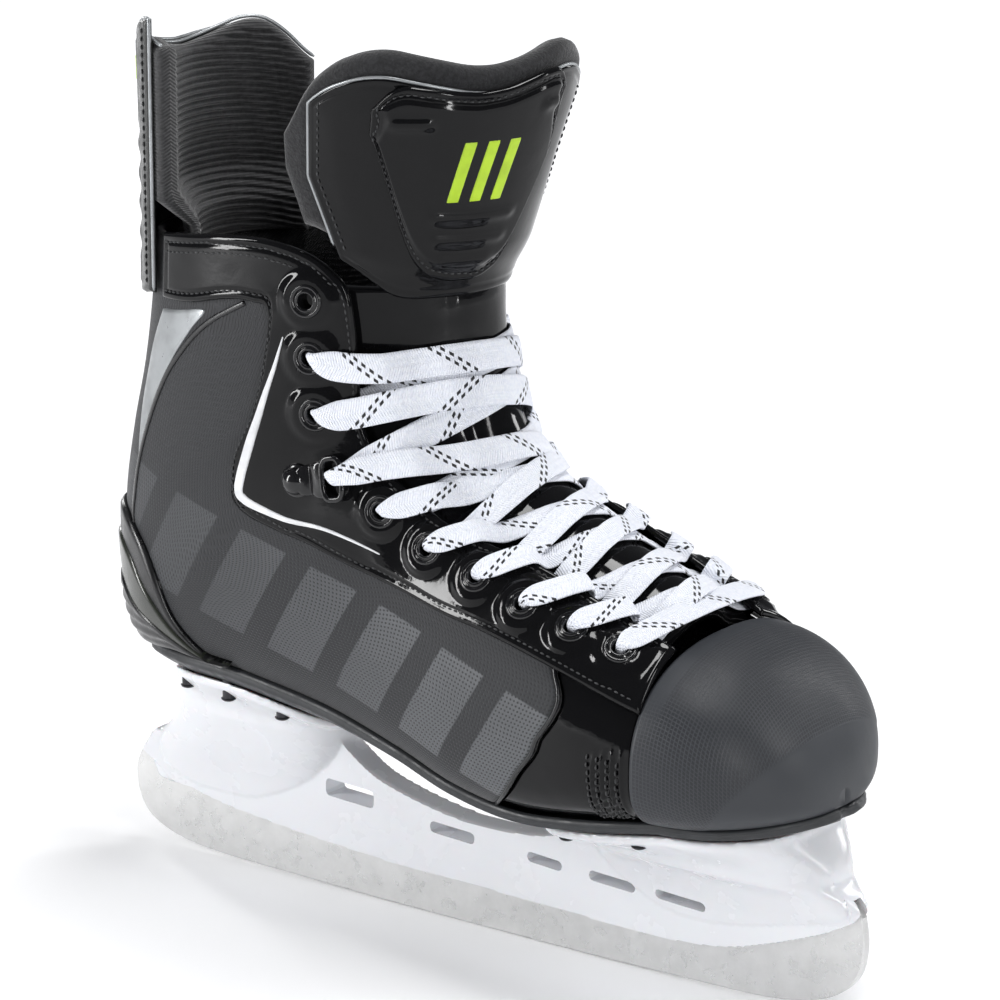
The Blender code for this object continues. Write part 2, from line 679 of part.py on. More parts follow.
def collar_section(z, phi, off):
    """The ankle's outline carried straight up above the collar."""
    point = on_boot(LAST - .3, phi) + off * boot_normal(LAST - .3, phi)
    lean = float(np.interp(z, [188, 211, 235, 275], [-2.0, 0, 0, -2.5]))
    return np.array([point[0] + lean * (1 - phi / GUARD_REACH), point[1] if phi else 0.0, z])


def wrap(low, high, reach, offsets, cols, rows):
    """A collar piece round the back: low and high give its edges' heights by share of the way forward."""
    grids = ([], [])
    for v in np.linspace(-1, 1, cols):
        side = LATERAL if v < 0 else MEDIAL
        bottom = float(np.interp(abs(v), [p[0] for p in low], [p[1] for p in low]))
        top = float(np.interp(abs(v), [p[0] for p in high], [p[1] for p in high]))
        for grid, off in zip(grids, offsets):
            line = []
            for u in np.linspace(0, 1, rows):
                z = bottom + (top - bottom) * u
                line.append(collar_section(z, abs(v) * reach, off) * (1, side, 1))
            grid.append(line)
    return between(*grids)


def make_guard():
    axle = pivot("tendon_guard_pivot", GUARD_PIVOT)
    place = tuple(c * MM for c in GUARD_PIVOT)
    outer = wrap(GUARD_LOW, GUARD_TOP, GUARD_REACH, (2.6, 4.4), 17, 9)
    add("tendon_guard", outer, material("guard", (.03, .03, .032), .3), place, axle)
    inner = wrap(LINER_LOW, LINER_HIGH, GUARD_REACH + .035, (-4.0, 2.2), 17, 6)
    add("guard_liner", inner, knit(), place, axle)


# ---------------------------------------------------------------- tongue
TONGUE_PIVOT = (-1.0, 0, 204.5)
TONGUE_START, TONGUE_TOP_Z = 5.35, 203.0
TONGUE_HALF = .80            # half the upper tongue's width, as v


def tongue_rise(s, phi):
    """How far the tongue stands above the boot's surface: tucked under the facings, crowned between them."""
    edge = facing_phi(s, UPPER[TONGUE_EDGE + 1:])
    share = min(max((phi - edge - .02) / (.98 - edge), 0.0), 1.0)
    return -3.0 + 6.0 * share * share * (3 - 2 * share)


def tongue_end(phi):
    """The s where the lower tongue's surface reaches its level top edge."""
    low, high = 12.0, LAST - .05
    for _ in range(20):
        middle = (low + high) / 2
        under = boot(middle, phi, 1, tongue_rise(middle, phi))[2] < TONGUE_TOP_Z
        low, high = (middle, high) if under else (low, middle)
    return low


def make_tongue_lower():
    grids = ([], [])
    edges = [.6, .66, .72, .78, .85, .91, .96, 1]
    line = [(phi, LATERAL) for phi in edges] + [(phi, MEDIAL) for phi in edges[-2::-1]]
    for u in np.linspace(0, 1, 17):
        for grid, drop in zip(grids, (TONGUE_THICK, 0.0)):
            row = []
            for phi, side in line:
                s = TONGUE_START + (tongue_end(phi) - TONGUE_START) * u
                row.append(boot(s, phi, side, tongue_rise(s, phi) - drop))
            grid.append(row)
    return add("tongue_lower", between(*grids), patent())


def tongue_section(z, v, off):
    """The upper tongue's half oval at a height: v is the turn from straight ahead, in quarter turns."""
    grow = (z - 200) / 72
    wide = 35 + 15 * grow + off
    deep = 41 + 12 * grow + off
    middle = -42 + 12 * grow
    turn = v * math.radians(92)
    return np.array([middle + deep * math.cos(turn), wide * math.sin(turn), z])


def tongue_turn(z, w):
    """The v of a place w across the tongue, -1 to 1: its upper part is turned to the outer side."""
    return float(np.interp(z, [205, 238], [-.12, -.31])) + TONGUE_HALF * w


# By w across the tongue, or by v for the shield: heights of the edges.
TONGUE_LOW = [(-1, 221), (-.82, 219), (-.6, 207), (-.5, 205), (.75, 205), (.9, 208), (1, 216)]
TONGUE_HIGH = [(-1, 246), (-.9, 261), (-.77, 272), (-.5, 279), (0, 272), (.25, 274), (.5, 279), (.8, 270), (1, 252)]
SHIELD_LOW = [(-.71, 255), (-.65, 242), (-.58, 227), (-.5, 214), (-.42, 208), (-.31, 206), (-.17, 206), (-.07, 210),
              (-.03, 217), (.04, 235), (.07, 252)]
SHIELD_HIGH = [(-.71, 259), (-.66, 265), (-.6, 268), (-.45, 266), (-.33, 265), (-.22, 266), (-.05, 270), (.02, 270),
               (.07, 262)]


def height(table, at):
    return float(np.interp(at, [p[0] for p in table], [p[1] for p in table]))


def tongue_sheet(low, high, share, offsets, cols=19, rows=7, trim=(0.0, 0.0)):
    """A layer of the upper tongue, share of its width, between two tables of heights less trim."""
    grids = ([], [])
    for w in np.linspace(-share, share, cols):
        bottom, top = height(low, w) + trim[0], height(high, w) - trim[1]
        for grid, off in zip(grids, offsets):
            line = []
            for z in np.linspace(bottom, top, rows):
                line.append(tongue_section(z, tongue_turn(z, w), off))
            grid.append(line)
    return between(*grids)


def make_tongue_upper():
    hinge = pivot("tongue_pivot", TONGUE_PIVOT)
    place = tuple(c * MM for c in TONGUE_PIVOT)
    body = tongue_sheet(TONGUE_LOW, TONGUE_HIGH, 1.0, (-9.0, 0.0), 21)
    add("tongue_upper", body, felt(), place, hinge)
    front = tongue_sheet(TONGUE_LOW, TONGUE_HIGH, .8, (.3, 1.5), 19, trim=(3.2, 8))
    add("tongue_facing", front, patent(), place, hinge)
    grids = ([], [])
    for v in np.linspace(SHIELD_LOW[0][0], SHIELD_LOW[-1][0], 14):
        for grid, off in zip(grids, (1.8, 5.0)):
            line = np.linspace(height(SHIELD_LOW, v), height(SHIELD_HIGH, v), 6)
            grid.append([tongue_section(z, v, off) for z in line])
    add("tongue_shield", between(*grids), patent(), place, hinge)


# ---------------------------------------------------------------- lace
UNDER, RIM = -1.4, 5.8       # the lace's height below and above an eyelet, over the boot's surface
LACE_STEP = 1.7              # how far the upper of two crossing strands lies over the lower
BESIDE_TONGUE = UPPER[TONGUE_EDGE + 1:]


class Strand:
    """The lace's centre line: points on the boot with heights, widths and which way the flat side faces."""

    def __init__(self):
        self.points = []

    def put(self, s, q, height, width, flat=True):
        """q is the share from the instep line, negative on the outer side."""
        phi, side = 1 - abs(q), (MEDIAL if q > 0 else LATERAL)
        out = boot_direction(s, min(phi, .996), side)
        self.points.append((boot(s, phi, side, height), out, width, flat))


def rise_at(s, q):
    return tongue_rise(s, 1 - abs(q))


def cross(strand, start, end, upper, from_hook, to_hook, tucked=False):
    """One strand over the tongue: out of the eyelet at start, under the other facing, to the eyelet at end."""
    (sa, qa), (sb, qb) = start, end
    span = abs(qa) + abs(qb)
    first = (abs(qa) - 1 + facing_phi(sa, BESIDE_TONGUE)) / span
    last = 1 - (abs(qb) - 1 + facing_phi(sb, BESIDE_TONGUE)) / span
    lift = 3.6 if from_hook else 0.0
    lie = 3.1 if to_hook else UNDER

    def put(u, height, width):
        strand.put(sa + (sb - sa) * u, qa + (qb - qa) * u, height, width)

    put(.35 * first, RIM + lift, 4.0)
    put(.7 * first, RIM - .6 + lift, 5.4)
    put(first, 3.9 + lift, LACE_WIDTH)
    put(first + .06, 3.6 + lift * .8, LACE_WIDTH)
    for u in (.32, .41, .5, .59, .68):
        at = rise_at(sa + (sb - sa) * u, qa + (qb - qa) * u)
        put(u, at + 1.8 + (LACE_STEP if upper else 0), LACE_WIDTH)
    put(last - .07, max(lie, rise_at(sb, qb * .7) + 1.8), LACE_WIDTH)
    put(last, lie, LACE_WIDTH)
    put(last + .4 * (1 - last), lie, 5.4)
    if not tucked:
        put(last + .72 * (1 - last), lie, 3.8)


def through(strand, stop, hook):
    """Up through an eyelet, or through the hook's slot."""
    s, q = stop
    levels = (3.6, 5.6, 8.6) if hook else (-.5, 1.8, 4.5)
    for height in levels:
        strand.put(s, q, height, 2.4, flat=False)


def lace_half(stops, start_side, upper_first):
    strand = Strand()
    side, upper = start_side, upper_first
    for k in range(len(stops) - 1, -1, -1):
        s, phi = stops[k]
        stop = (s, side * (1 - phi))
        through(strand, stop, k == HOOK_STOP)
        target = stops[k - 1] if k else side_point(*LACE_END)
        end = (target[0], -side * (1 - target[1]))
        cross(strand, stop, end, upper, k == HOOK_STOP, k - 1 == HOOK_STOP, tucked=k == 0)
        side, upper = -side, not upper
    return strand.points


HOOK_STOP = 2
LACE_END = (-31, 180)        # where each end is tucked under the other facing, seen from the side


def lace_line():
    """The lace from one tucked end, down one zigzag, across under the lowest eyelets and up the other."""
    stops = [side_point(*p) for p in EYELETS[1:]]
    stops.insert(HOOK_STOP, side_point(*HOOK_RING))
    one = lace_half(stops, LATERAL, True)
    other = lace_half(stops, MEDIAL, False)
    s, phi = stops[-1]
    bar = Strand()
    for share in (-.9, -.72, -.5, -.25, 0, .25, .5, .72, .9):
        q = share * (1 - phi)
        width = 3.8 if abs(share) > .8 else LACE_WIDTH
        bar.put(s, q, max(UNDER, rise_at(s, q) + 1.2), width)
    return one[::-1] + bar.points + other


def make_lace():
    line = lace_line()
    places = [np.array(point[0]) for point in line]
    mesh = bmesh.new()
    rings, flat_side, before = [], None, None
    for k, (place, out, width, flat) in enumerate(line):
        ahead = places[min(k + 1, len(line) - 1)] - places[max(k - 1, 0)]
        ahead = Vector(ahead).normalized()
        if flat_side is None:
            flat_side = Vector(out)
        else:
            flat_side = before.rotation_difference(ahead) @ flat_side
            wanted = Vector(out)
            if flat:
                flat_side = wanted if wanted.dot(flat_side) > 0 else -wanted
        flat_side = (flat_side - flat_side.dot(ahead) * ahead).normalized()
        before = ahead
        across = ahead.cross(flat_side)
        half, thick = width / 2, LACE_THICK / 2
        corners = ((-half, -thick), (half, -thick), (half, thick), (-half, thick))
        rings.append([mesh.verts.new((Vector(place) + across * x + flat_side * y) * MM) for x, y in corners])
    for a, b in zip(rings, rings[1:]):
        for k in range(4):
            j = (k + 1) % 4
            mesh.faces.new([a[k], a[j], b[j], b[k]])
    mesh.faces.new(rings[0][::-1])
    mesh.faces.new(rings[-1])
    bmesh.ops.triangulate(mesh, faces=mesh.faces)
    add("lace", mesh, lace_fabric())


def bare():
    for item in list(bpy.data.objects):
        bpy.data.objects.remove(item, do_unlink=True)


def main():
    bare()
    make_blade()
    holder = make_holder()
    outsole = make_sole()
    make_fixings(holder, outsole)
    make_toe_cap()
    make_quarters()
    make_facings()
    make_heel()
    make_guard()
    make_tongue_lower()
    make_tongue_upper()
    make_lace()


main()
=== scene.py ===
"""Looks of an adult ice hockey skate, right foot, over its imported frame.

Frame: +X to the toe, +Z up, -Y the outer side. Lengths in the tables are millimetres; meshes are in metres.
"""
import math
from functools import partialmethod

import bmesh
import bpy
import numpy as np
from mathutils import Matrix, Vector


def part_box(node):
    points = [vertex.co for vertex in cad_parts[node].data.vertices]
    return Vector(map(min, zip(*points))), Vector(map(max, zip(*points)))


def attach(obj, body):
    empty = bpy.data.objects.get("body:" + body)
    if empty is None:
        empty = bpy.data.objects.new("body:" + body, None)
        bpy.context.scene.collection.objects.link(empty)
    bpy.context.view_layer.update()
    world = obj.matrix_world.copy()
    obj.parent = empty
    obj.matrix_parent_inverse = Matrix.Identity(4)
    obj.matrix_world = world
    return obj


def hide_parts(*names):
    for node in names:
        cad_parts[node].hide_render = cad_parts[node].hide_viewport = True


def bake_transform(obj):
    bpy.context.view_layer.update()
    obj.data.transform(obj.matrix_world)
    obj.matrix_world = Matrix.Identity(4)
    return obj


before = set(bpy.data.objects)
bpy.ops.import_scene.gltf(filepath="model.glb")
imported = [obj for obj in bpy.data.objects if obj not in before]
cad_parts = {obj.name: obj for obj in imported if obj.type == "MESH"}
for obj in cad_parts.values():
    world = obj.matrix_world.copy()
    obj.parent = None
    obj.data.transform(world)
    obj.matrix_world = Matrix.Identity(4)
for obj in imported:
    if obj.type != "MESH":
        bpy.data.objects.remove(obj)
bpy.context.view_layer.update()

MM = 0.001
LATERAL, MEDIAL = -1, 1
SIDES = ((LATERAL, "lateral"), (MEDIAL, "medial"))

# ---------------------------------------------------------------- camera, floor and lights
CAMERA_TARGET = Vector((-.0002, 0, .1402))
CAMERA_AZIMUTH, CAMERA_ELEVATION = math.radians(36.675), math.radians(15.2255)
CAMERA_DISTANCE, CAMERA_LENS = 1.3538, 162.64
CAMERA_SHIFT = (.0094, -.0137)


SOFTBOXES = {
    "overhead": ((.15, .1, 1.5), (.7, .3), 13),
    "front_left": ((-1.0, -1.15, .62), (.2, 1.1), 19),
    "front_right": ((1.5, -.75, .6), (.09, 1.0), 9),
    "side_right": ((1.35, .55, .75), (.12, .9), 5),
    "rear_right": ((.5, 1.45, .8), (.2, 1.0), 6),
    "rear_left": ((-1.35, .6, .7), (.15, 1.0), 6),
}
FLOOR_RADIUS, FLOOR_SIDES, FLOOR_Z = 9.0, 48, -.0004


def make_camera():
    back = Vector((math.sin(CAMERA_AZIMUTH) * math.cos(CAMERA_ELEVATION),
                   -math.cos(CAMERA_AZIMUTH) * math.cos(CAMERA_ELEVATION), math.sin(CAMERA_ELEVATION)))
    data = bpy.data.cameras.new("camera")
    data.lens, data.sensor_width = CAMERA_LENS, 36.0
    data.shift_x, data.shift_y = CAMERA_SHIFT
    data.clip_start, data.clip_end = .05, 60.0
    camera = bpy.data.objects.new("camera", data)
    bpy.context.scene.collection.objects.link(camera)
    camera.location = CAMERA_TARGET + back * CAMERA_DISTANCE
    camera.rotation_mode = "QUATERNION"
    camera.rotation_quaternion = (-back).to_track_quat("-Z", "Y")
    bpy.context.scene.camera = camera


def softbox(name, place, size, watts, aim=(0, 0, .12)):
    data = bpy.data.lights.new(name, "AREA")
    data.shape, data.size, data.size_y = "RECTANGLE", *size
    data.energy = watts
    light = bpy.data.objects.new(name, data)
    bpy.context.scene.collection.objects.link(light)
    light.location = place
    light.rotation_euler = (Vector(aim) - Vector(place)).to_track_quat("-Z", "Y").to_euler()


def make_studio():
    for name, (place, size, watts) in SOFTBOXES.items():
        softbox(name, place, size, watts)
    world = bpy.data.worlds.new("studio")
    world.use_nodes = True
    tree = world.node_tree
    near = tree.nodes["Background"]
    near.inputs["Color"].default_value, near.inputs["Strength"].default_value = (.9, .93, 1, 1), .12
    far = tree.nodes.new("ShaderNodeBackground")
    far.inputs["Color"].default_value, far.inputs["Strength"].default_value = (.93, .94, .95, 1), .95
    mix, path = tree.nodes.new("ShaderNodeMixShader"), tree.nodes.new("ShaderNodeLightPath")
    tree.links.new(path.outputs["Is Camera Ray"], mix.inputs["Fac"])
    tree.links.new(near.outputs[0], mix.inputs[1])
    tree.links.new(far.outputs[0], mix.inputs[2])
    tree.links.new(mix.outputs[0], tree.nodes["World Output"].inputs["Surface"])
    bpy.context.scene.world = world
    bpy.context.scene.view_settings.view_transform = "Standard"
    data = bpy.data.meshes.new("floor")
    turns = [2 * math.pi * k / FLOOR_SIDES for k in range(FLOOR_SIDES)]
    ring = [(FLOOR_RADIUS * math.cos(turn), FLOOR_RADIUS * math.sin(turn), FLOOR_Z) for turn in turns]
    data.from_pydata(ring, [], [tuple(range(FLOOR_SIDES))])
    floor = bpy.data.objects.new("floor", data)
    bpy.context.scene.collection.objects.link(floor)
    look = Look("floor", (.93, .93, .94), .7, **{"Emission Color": (.93, .94, .95)})
    away = look.node("VectorMath", {0: look.place()}, operation="LENGTH").outputs["Value"]
    look.tree.links.new(look.blur(away, .5, 2.0, .12, .9), look.shader.inputs["Emission Strength"])
    data.materials.append(look.done())


# ---------------------------------------------------------------- materials
class Look:
    """A procedural material: nodes are added by kind, with sockets given as values or other nodes' outputs."""

    def __init__(self, name, colour, roughness, metallic=0.0, **sockets):
        self.material = bpy.data.materials.new(name)
        self.material.use_nodes = True
        self.tree = self.material.node_tree
        self.shader = self.tree.nodes["Principled BSDF"]
        self.put(self.shader, {"Base Color": colour, "Roughness": roughness, "Metallic": metallic, **sockets})
        self.last_bump = None

    def put(self, node, values):
        for key, value in values.items():
            socket = node.inputs[key]
            if isinstance(value, bpy.types.NodeSocket):
                self.tree.links.new(value, socket)
            elif hasattr(value, "__len__") and len(value) == 3 and len(socket.default_value) == 4:
                socket.default_value = (*value, 1)
            else:
                socket.default_value = value

    def node(self, kind, values=None, **settings):
        made = self.tree.nodes.new("ShaderNode" + kind)
        for key, value in settings.items():
            setattr(made, key, value)
        self.put(made, values or {})
        return made

    def place(self, scale=1.0):
        """The piece's own coordinates in metres, times scale."""
        coords = self.node("TexCoord").outputs["Object"]
        return self.node("Mapping", {"Vector": coords, "Scale": (scale,) * 3}).outputs["Vector"]

    def cloth(self, parts=False):
        """The fabric's own coordinates in mm, laid on the piece when its mesh is made."""
        out = self.node("Attribute", attribute_name="cloth").outputs["Vector"]
        if not parts:
            return out
        split = self.node("SeparateXYZ", {0: out})
        return split.outputs[0], split.outputs[1], split.outputs[2]

    def math(self, operation, a, b=0.0):
        return self.node("Math", {0: a, 1: b}, operation=operation).outputs[0]

    plus, minus = partialmethod(math, "ADD"), partialmethod(math, "SUBTRACT")
    times, divided = partialmethod(math, "MULTIPLY"), partialmethod(math, "DIVIDE")
    sine, fract, absolute = (partialmethod(math, "SINE"), partialmethod(math, "FRACT"),
                             partialmethod(math, "ABSOLUTE"))

    def blur(self, value, low, high, to_low=0.0, to_high=1.0):
        made = self.node("MapRange", {"Value": value, "From Min": low, "From Max": high, "To Min": to_low,
                                      "To Max": to_high}, interpolation_type="SMOOTHSTEP")
        return made.outputs["Result"]

    def noise(self, scale, detail=3.0, roughness=.55, vector=None):
        made = self.node("TexNoise", {"Scale": scale, "Detail": detail, "Roughness": roughness})
        self.tree.links.new(vector if vector else self.place(), made.inputs["Vector"])
        return made.outputs["Fac"]

    def mix(self, factor, a, b):
        made = self.node("MixRGB", {"Fac": factor, "Color1": a, "Color2": b})
        return made.outputs["Color"]

    def colour(self, socket):
        self.tree.links.new(socket, self.shader.inputs["Base Color"])

    def rough(self, socket):
        self.tree.links.new(socket, self.shader.inputs["Roughness"])

    def bump(self, height, distance, strength=1.0):
        """Adds a relief, distance in mm; several follow one another."""
        made = self.node("Bump", {"Height": height, "Distance": distance * MM, "Strength": strength})
        if self.last_bump:
            self.tree.links.new(self.last_bump, made.inputs["Normal"])
        self.last_bump = made.outputs["Normal"]
        self.tree.links.new(self.last_bump, self.shader.inputs["Normal"])

    def done(self):
        return self.material


PRINT_SIN, PRINT_COS = math.sin(math.radians(16)), math.cos(math.radians(16))
PRINT_PITCH, PRINT_LOW, PRINT_HIGH, PRINT_SLANT = 27.0, 68.0, 103.0, -.32
WEAVE_PITCH, WALE_PITCH, GRID_PITCH = 2.0, 1.1, 1.15
TRACER_TURN, DOT_PITCH, RIB_PITCH = 27, 2.4, .8


def patent():
    look = Look("patent", (.0045, .0045, .005), .06, **{"Specular IOR Level": .2})
    look.bump(look.noise(38, 2), 1.1, .5)
    look.bump(look.noise(420, 2), .05, .6)
    look.rough(look.blur(look.noise(90, 4), .3, .7, .045, .11))
    return look.done()


def weave(look, u, v, pitch):
    """Holes of a plain weave in diagonal rows, 1 on the threads and 0 in the holes."""
    a = look.sine(look.times(look.plus(u, v), 2 * math.pi / pitch / 1.414))
    b = look.sine(look.times(look.minus(u, v), 2 * math.pi / pitch / 1.414))
    return look.blur(look.times(a, b), -.75, -.1)


def textile():
    """Woven upper fabric with a tonal print of plain slanted bars."""
    look = Look("textile", (.03, .033, .038), .62, **{"Sheen Weight": .15, "Sheen Roughness": .4})
    u, v, _ = look.cloth(True)
    threads = weave(look, u, v, WEAVE_PITCH)
    coords = look.node("SeparateXYZ", {0: look.place(1000)})
    x, z = coords.outputs[0], coords.outputs[2]
    along = look.plus(look.times(x, PRINT_COS), look.times(z, -PRINT_SIN))
    across = look.plus(look.times(x, PRINT_SIN), look.times(z, PRINT_COS))
    slanted = look.plus(along, look.times(across, PRINT_SLANT))
    share = look.fract(look.divided(look.plus(slanted, 400), PRINT_PITCH))
    bar = look.times(look.blur(share, .02, .045), look.blur(share, .70, .675))
    band = look.times(look.blur(across, PRINT_LOW, PRINT_LOW + .7),
                     look.blur(across, PRINT_HIGH, PRINT_HIGH - .7))
    print_at = look.times(bar, band)
    fade = look.blur(x, -150, 60, .30, 1.0)
    printed = look.times(print_at, fade)
    base = look.mix(printed, (.013, .014, .017), (.085, .09, .098))
    base = look.mix(look.blur(look.noise(24, 3), .35, .65, 0, .25), base, (.016, .018, .021))
    look.colour(look.mix(threads, (.006, .0065, .008), base))
    look.rough(look.blur(printed, 0, 1, .68, .45))
    look.bump(threads, .12, .9)
    look.bump(look.noise(1800, 2), .03, .5)
    return look.done()


def knit():
    look = Look("knit", (.012, .012, .013), .85, **{"Sheen Weight": .35, "Sheen Roughness": .5})
    u, _, _ = look.cloth(True)
    look.colour(look.mix(look.blur(look.noise(700, 3), .3, .7), (.006, .006, .007), (.022, .022, .024)))
    wales = look.sine(look.times(u, 2 * math.pi / WALE_PITCH))
    look.bump(wales, .12, .6)
    look.bump(look.noise(1500, 3), .12, .7)
    return look.done()


def felt():
    look = Look("felt", (.008, .008, .009), .95, **{"Sheen Weight": .3, "Sheen Roughness": .45})
    look.colour(look.mix(look.blur(look.noise(900, 4), .3, .7), (.004, .004, .005), (.017, .017, .019)))
    look.bump(look.noise(1300, 4), .35, .8)
    look.bump(look.noise(160, 3), .4, .5)
    return look.done()


def lace_fabric():
    """Flat braid: fine ribs across, two rows of small dark ovals, cloth x along and y across from -1 to 1."""
    look = Look("lace_fabric", (.84, .87, .95), .72, **{"Sheen Weight": .2, "Sheen Roughness": .4})
    u, v, _ = look.cloth(True)
    side = look.absolute(v)
    turn = look.fract(look.divided(u, TRACER_TURN))
    away = look.minus(look.plus(look.times(turn, 4.4), -1.9), v)
    row = look.absolute(look.minus(look.absolute(away), .22))
    shift = look.times(look.math("GREATER_THAN", away, 0), .5)
    dash = look.fract(look.plus(look.divided(u, DOT_PITCH), shift))
    dash = look.absolute(look.minus(dash, .5))
    dots = look.times(look.blur(dash, .30, .24), look.blur(row, .13, .10))
    look.colour(look.mix(dots, look.mix(look.blur(look.noise(900, 2), .3, .7), (.80, .83, .92), (.88, .90, .96)),
                         (.012, .012, .014)))
    ribs = look.sine(look.times(look.plus(u, look.times(side, 1.6)),
                                       2 * math.pi / RIB_PITCH))
    look.bump(ribs, .14, .8)
    look.bump(look.sine(look.times(v, 14)), .12, .6)
    return look.done()


def cap_rubber():
    """Slate toe cap: an embossed grid that ends at a curve, smooth ahead of it and below."""
    look = Look("cap_rubber", (.030, .033, .038), .46, **{"Specular IOR Level": .4})
    u, v, mask = look.cloth(True)
    grid = look.math("MAXIMUM", look.sine(look.times(u, 2 * math.pi / GRID_PITCH)),
                     look.sine(look.times(v, 2 * math.pi / GRID_PITCH)))
    look.bump(look.times(look.blur(grid, .5, 1), mask), .12, .9)
    look.bump(look.noise(700, 2), .03, .6)
    tone = look.mix(look.blur(look.noise(30, 3), .3, .7), (.026, .029, .034), (.034, .037, .043))
    # painted shade and light: inside the grid's zone the colour is darker in the emboss's grooves and lighter on its
    # ridges
    look.colour(look.mix(mask, tone, look.mix(look.blur(grid, .5, 1), (.020, .022, .026), (.040, .043, .050))))
    look.rough(look.blur(look.noise(60, 3), .3, .7, .42, .54))
    return look.done()


def white_plastic():
    look = Look("white_plastic", (.74, .75, .78), .24, **{"Specular IOR Level": .5, "Subsurface Weight": .08,
                                                        "Subsurface Scale": .004})
    look.colour(look.mix(look.blur(look.noise(20, 3), .3, .7), (.695, .705, .735), (.715, .725, .75)))
    look.rough(look.blur(look.noise(50, 4), .3, .7, .18, .32))
    look.bump(look.noise(300, 2), .03, .6)
    return look.done()


def steel():
    """Ground runner steel: soft mottling and fine grinding lines."""
    look = Look("runner_steel", (.60, .60, .59), .3, 1.0)
    spot = look.noise(150, 6, .65)
    look.colour(look.mix(look.blur(spot, .25, .75), (.60, .60, .595), (.66, .66, .655)))
    look.rough(look.blur(look.noise(260, 5), .3, .7, .24, .42))
    fine = look.node("Mapping", {"Vector": look.place(), "Scale": (5200, 100, 260)}).outputs["Vector"]
    look.bump(look.noise(1, 2, vector=fine), .02, .5)
    look.bump(look.noise(420, 3), .02, .4)
    return look.done()


def gloss(name, colour, roughness=.16, metallic=0.0, grain=0.03):
    look = Look(name, colour, roughness, metallic, **{"Specular IOR Level": .5})
    darker = tuple(c * .78 for c in colour)
    look.colour(look.mix(look.blur(look.noise(120, 3), .3, .7), darker, colour))
    look.rough(look.blur(look.noise(200, 3), .3, .7, roughness * .8, min(roughness * 1.3, 1)))
    look.bump(look.noise(800, 2), grain, .7)
    return look.done()


LOOKS = {}


def look_of(name):
    """Each material once, made when it is first asked for."""
    makers = {
        "patent": patent, "textile": textile, "knit": knit, "felt": felt, "lace": lace_fabric,
        "cap": cap_rubber, "white": white_plastic, "steel": steel,
        "hardware": lambda: gloss("black_hardware", (.008, .008, .009), .12),
        "thread": lambda: gloss("thread", (.035, .036, .038), .6, 0, .08),
        "silver": lambda: gloss("silver_piping", (.34, .355, .365), .34, .6),
        "piping": lambda: gloss("black_piping", (.006, .006, .007), .22),
        "accent": lambda: gloss("white_accent", (.82, .83, .85), .22),
        "lime": lambda: gloss("lime", (.44, .66, .015), .35),
        "sole": lambda: gloss("sole_plastic", (.022, .024, .027), .45, 0, .06),
        "guard": lambda: gloss("guard_plastic", (.022, .023, .022), .38, 0, .08),
        "counter": lambda: gloss("heel_plastic", (.026, .029, .022), .2),
        "counter_dark": lambda: gloss("heel_shadow", (.007, .007, .008), .3),
        "rivet": lambda: gloss("rivet_steel", (.05, .05, .055), .35, .8),
        "stud": lambda: gloss("stud_steel", (.5, .5, .5), .3, 1.0),
        "board": lambda: gloss("board", (.05, .045, .04), .8, 0, .2),
    }
    if name not in LOOKS:
        LOOKS[name] = makers[name]()
    return LOOKS[name]


# ---------------------------------------------------------------- the boot's surface
SECTIONS = [
    (85, 58.5, 85, 110.5, .40, 47.0, 3.0, 2.3),
    (60, 54.5, 62, 121, .40, 48.0, 3.5, 2.4),
    (35, 51.5, 40, 131, .41, 46.0, 3.7, 2.5),
    (10, 53, 22, 140, .43, 43.0, 3.5, 2.5),
    (-15, 58, 9, 149.5, .46, 39.5, 3.2, 2.4),
    (-45, 63, 3, 160, .48, 38.0, 2.8, 2.3),
    (-80, 67, 0, 171, .50, 39.0, 2.7, 2.2),
    (-107, 69, -1.5, 179, .50, 39.5, 2.6, 2.2),
    (-126, 76, -2.5, 186, .50, 40.0, 2.4, 2.2),
    (-133, 95, -3, 192, .50, 40.5, 2.2, 2.2),
    (-133, 118, -3, 198, .48, 41.0, 2.2, 2.2),
    (-128.5, 142, -3.5, 203, .46, 41.0, 2.2, 2.2),
    (-122.5, 165, -4, 208, .44, 41.0, 2.2, 2.2),
    (-118.5, 189, -4.5, 213, .42, 40.5, 2.2, 2.2),
    (-116.5, 214, -5, 218, .42, 40.0, 2.2, 2.2),
]
NOSE_STEPS = 5
NOSE_X, NOSE_LENGTH, NOSE_FRONT_Z, NOSE_SOLE_RISE = 85.0, 41.0, 70.0, 7.0


def nose_sections():
    """The toe's sections, from the tip back."""
    rows = []
    _, sole, _, top, widest, width, low, high = SECTIONS[0]
    for step in range(NOSE_STEPS):
        turn = math.pi / 2 * (1 - step / NOSE_STEPS)
        x = NOSE_X + NOSE_LENGTH * math.sin(turn)
        along = (x - NOSE_X + 9) / (NOSE_LENGTH + 9)
        half = width * max(0.0, 1 - along ** 2.4) ** (1 / 2.4)
        crown = NOSE_FRONT_Z + (top - NOSE_FRONT_Z) * max(0.0, 1 - math.sin(turn) ** 2.2) ** .6
        rows.append((x, sole + NOSE_SOLE_RISE * math.sin(turn) ** 2, x, crown, widest, half, low, high))
    return rows


TABLE = np.array(nose_sections() + SECTIONS, float)
LAST = len(TABLE) - 1


def between(rows, i, t):
    """The smooth curve through rows, t of the way from row i to the next."""
    a, b, c, d = (rows[np.clip(i + k, 0, len(rows) - 1)] for k in (-1, 0, 1, 2))
    return .5 * (2 * b + (c - a) * t + (2 * a - 5 * b + 4 * c - d) * t ** 2 + (3 * b - 3 * c + d - a) * t ** 3)


def spline(points, count):
    """count points on a smooth curve through points, evenly spaced in its own index."""
    points = np.array(points, float)
    last = len(points) - 1
    at = np.linspace(0, last, count)
    i = np.minimum(at.astype(int), last - 1)
    return between(points, i, (at - i)[:, None])


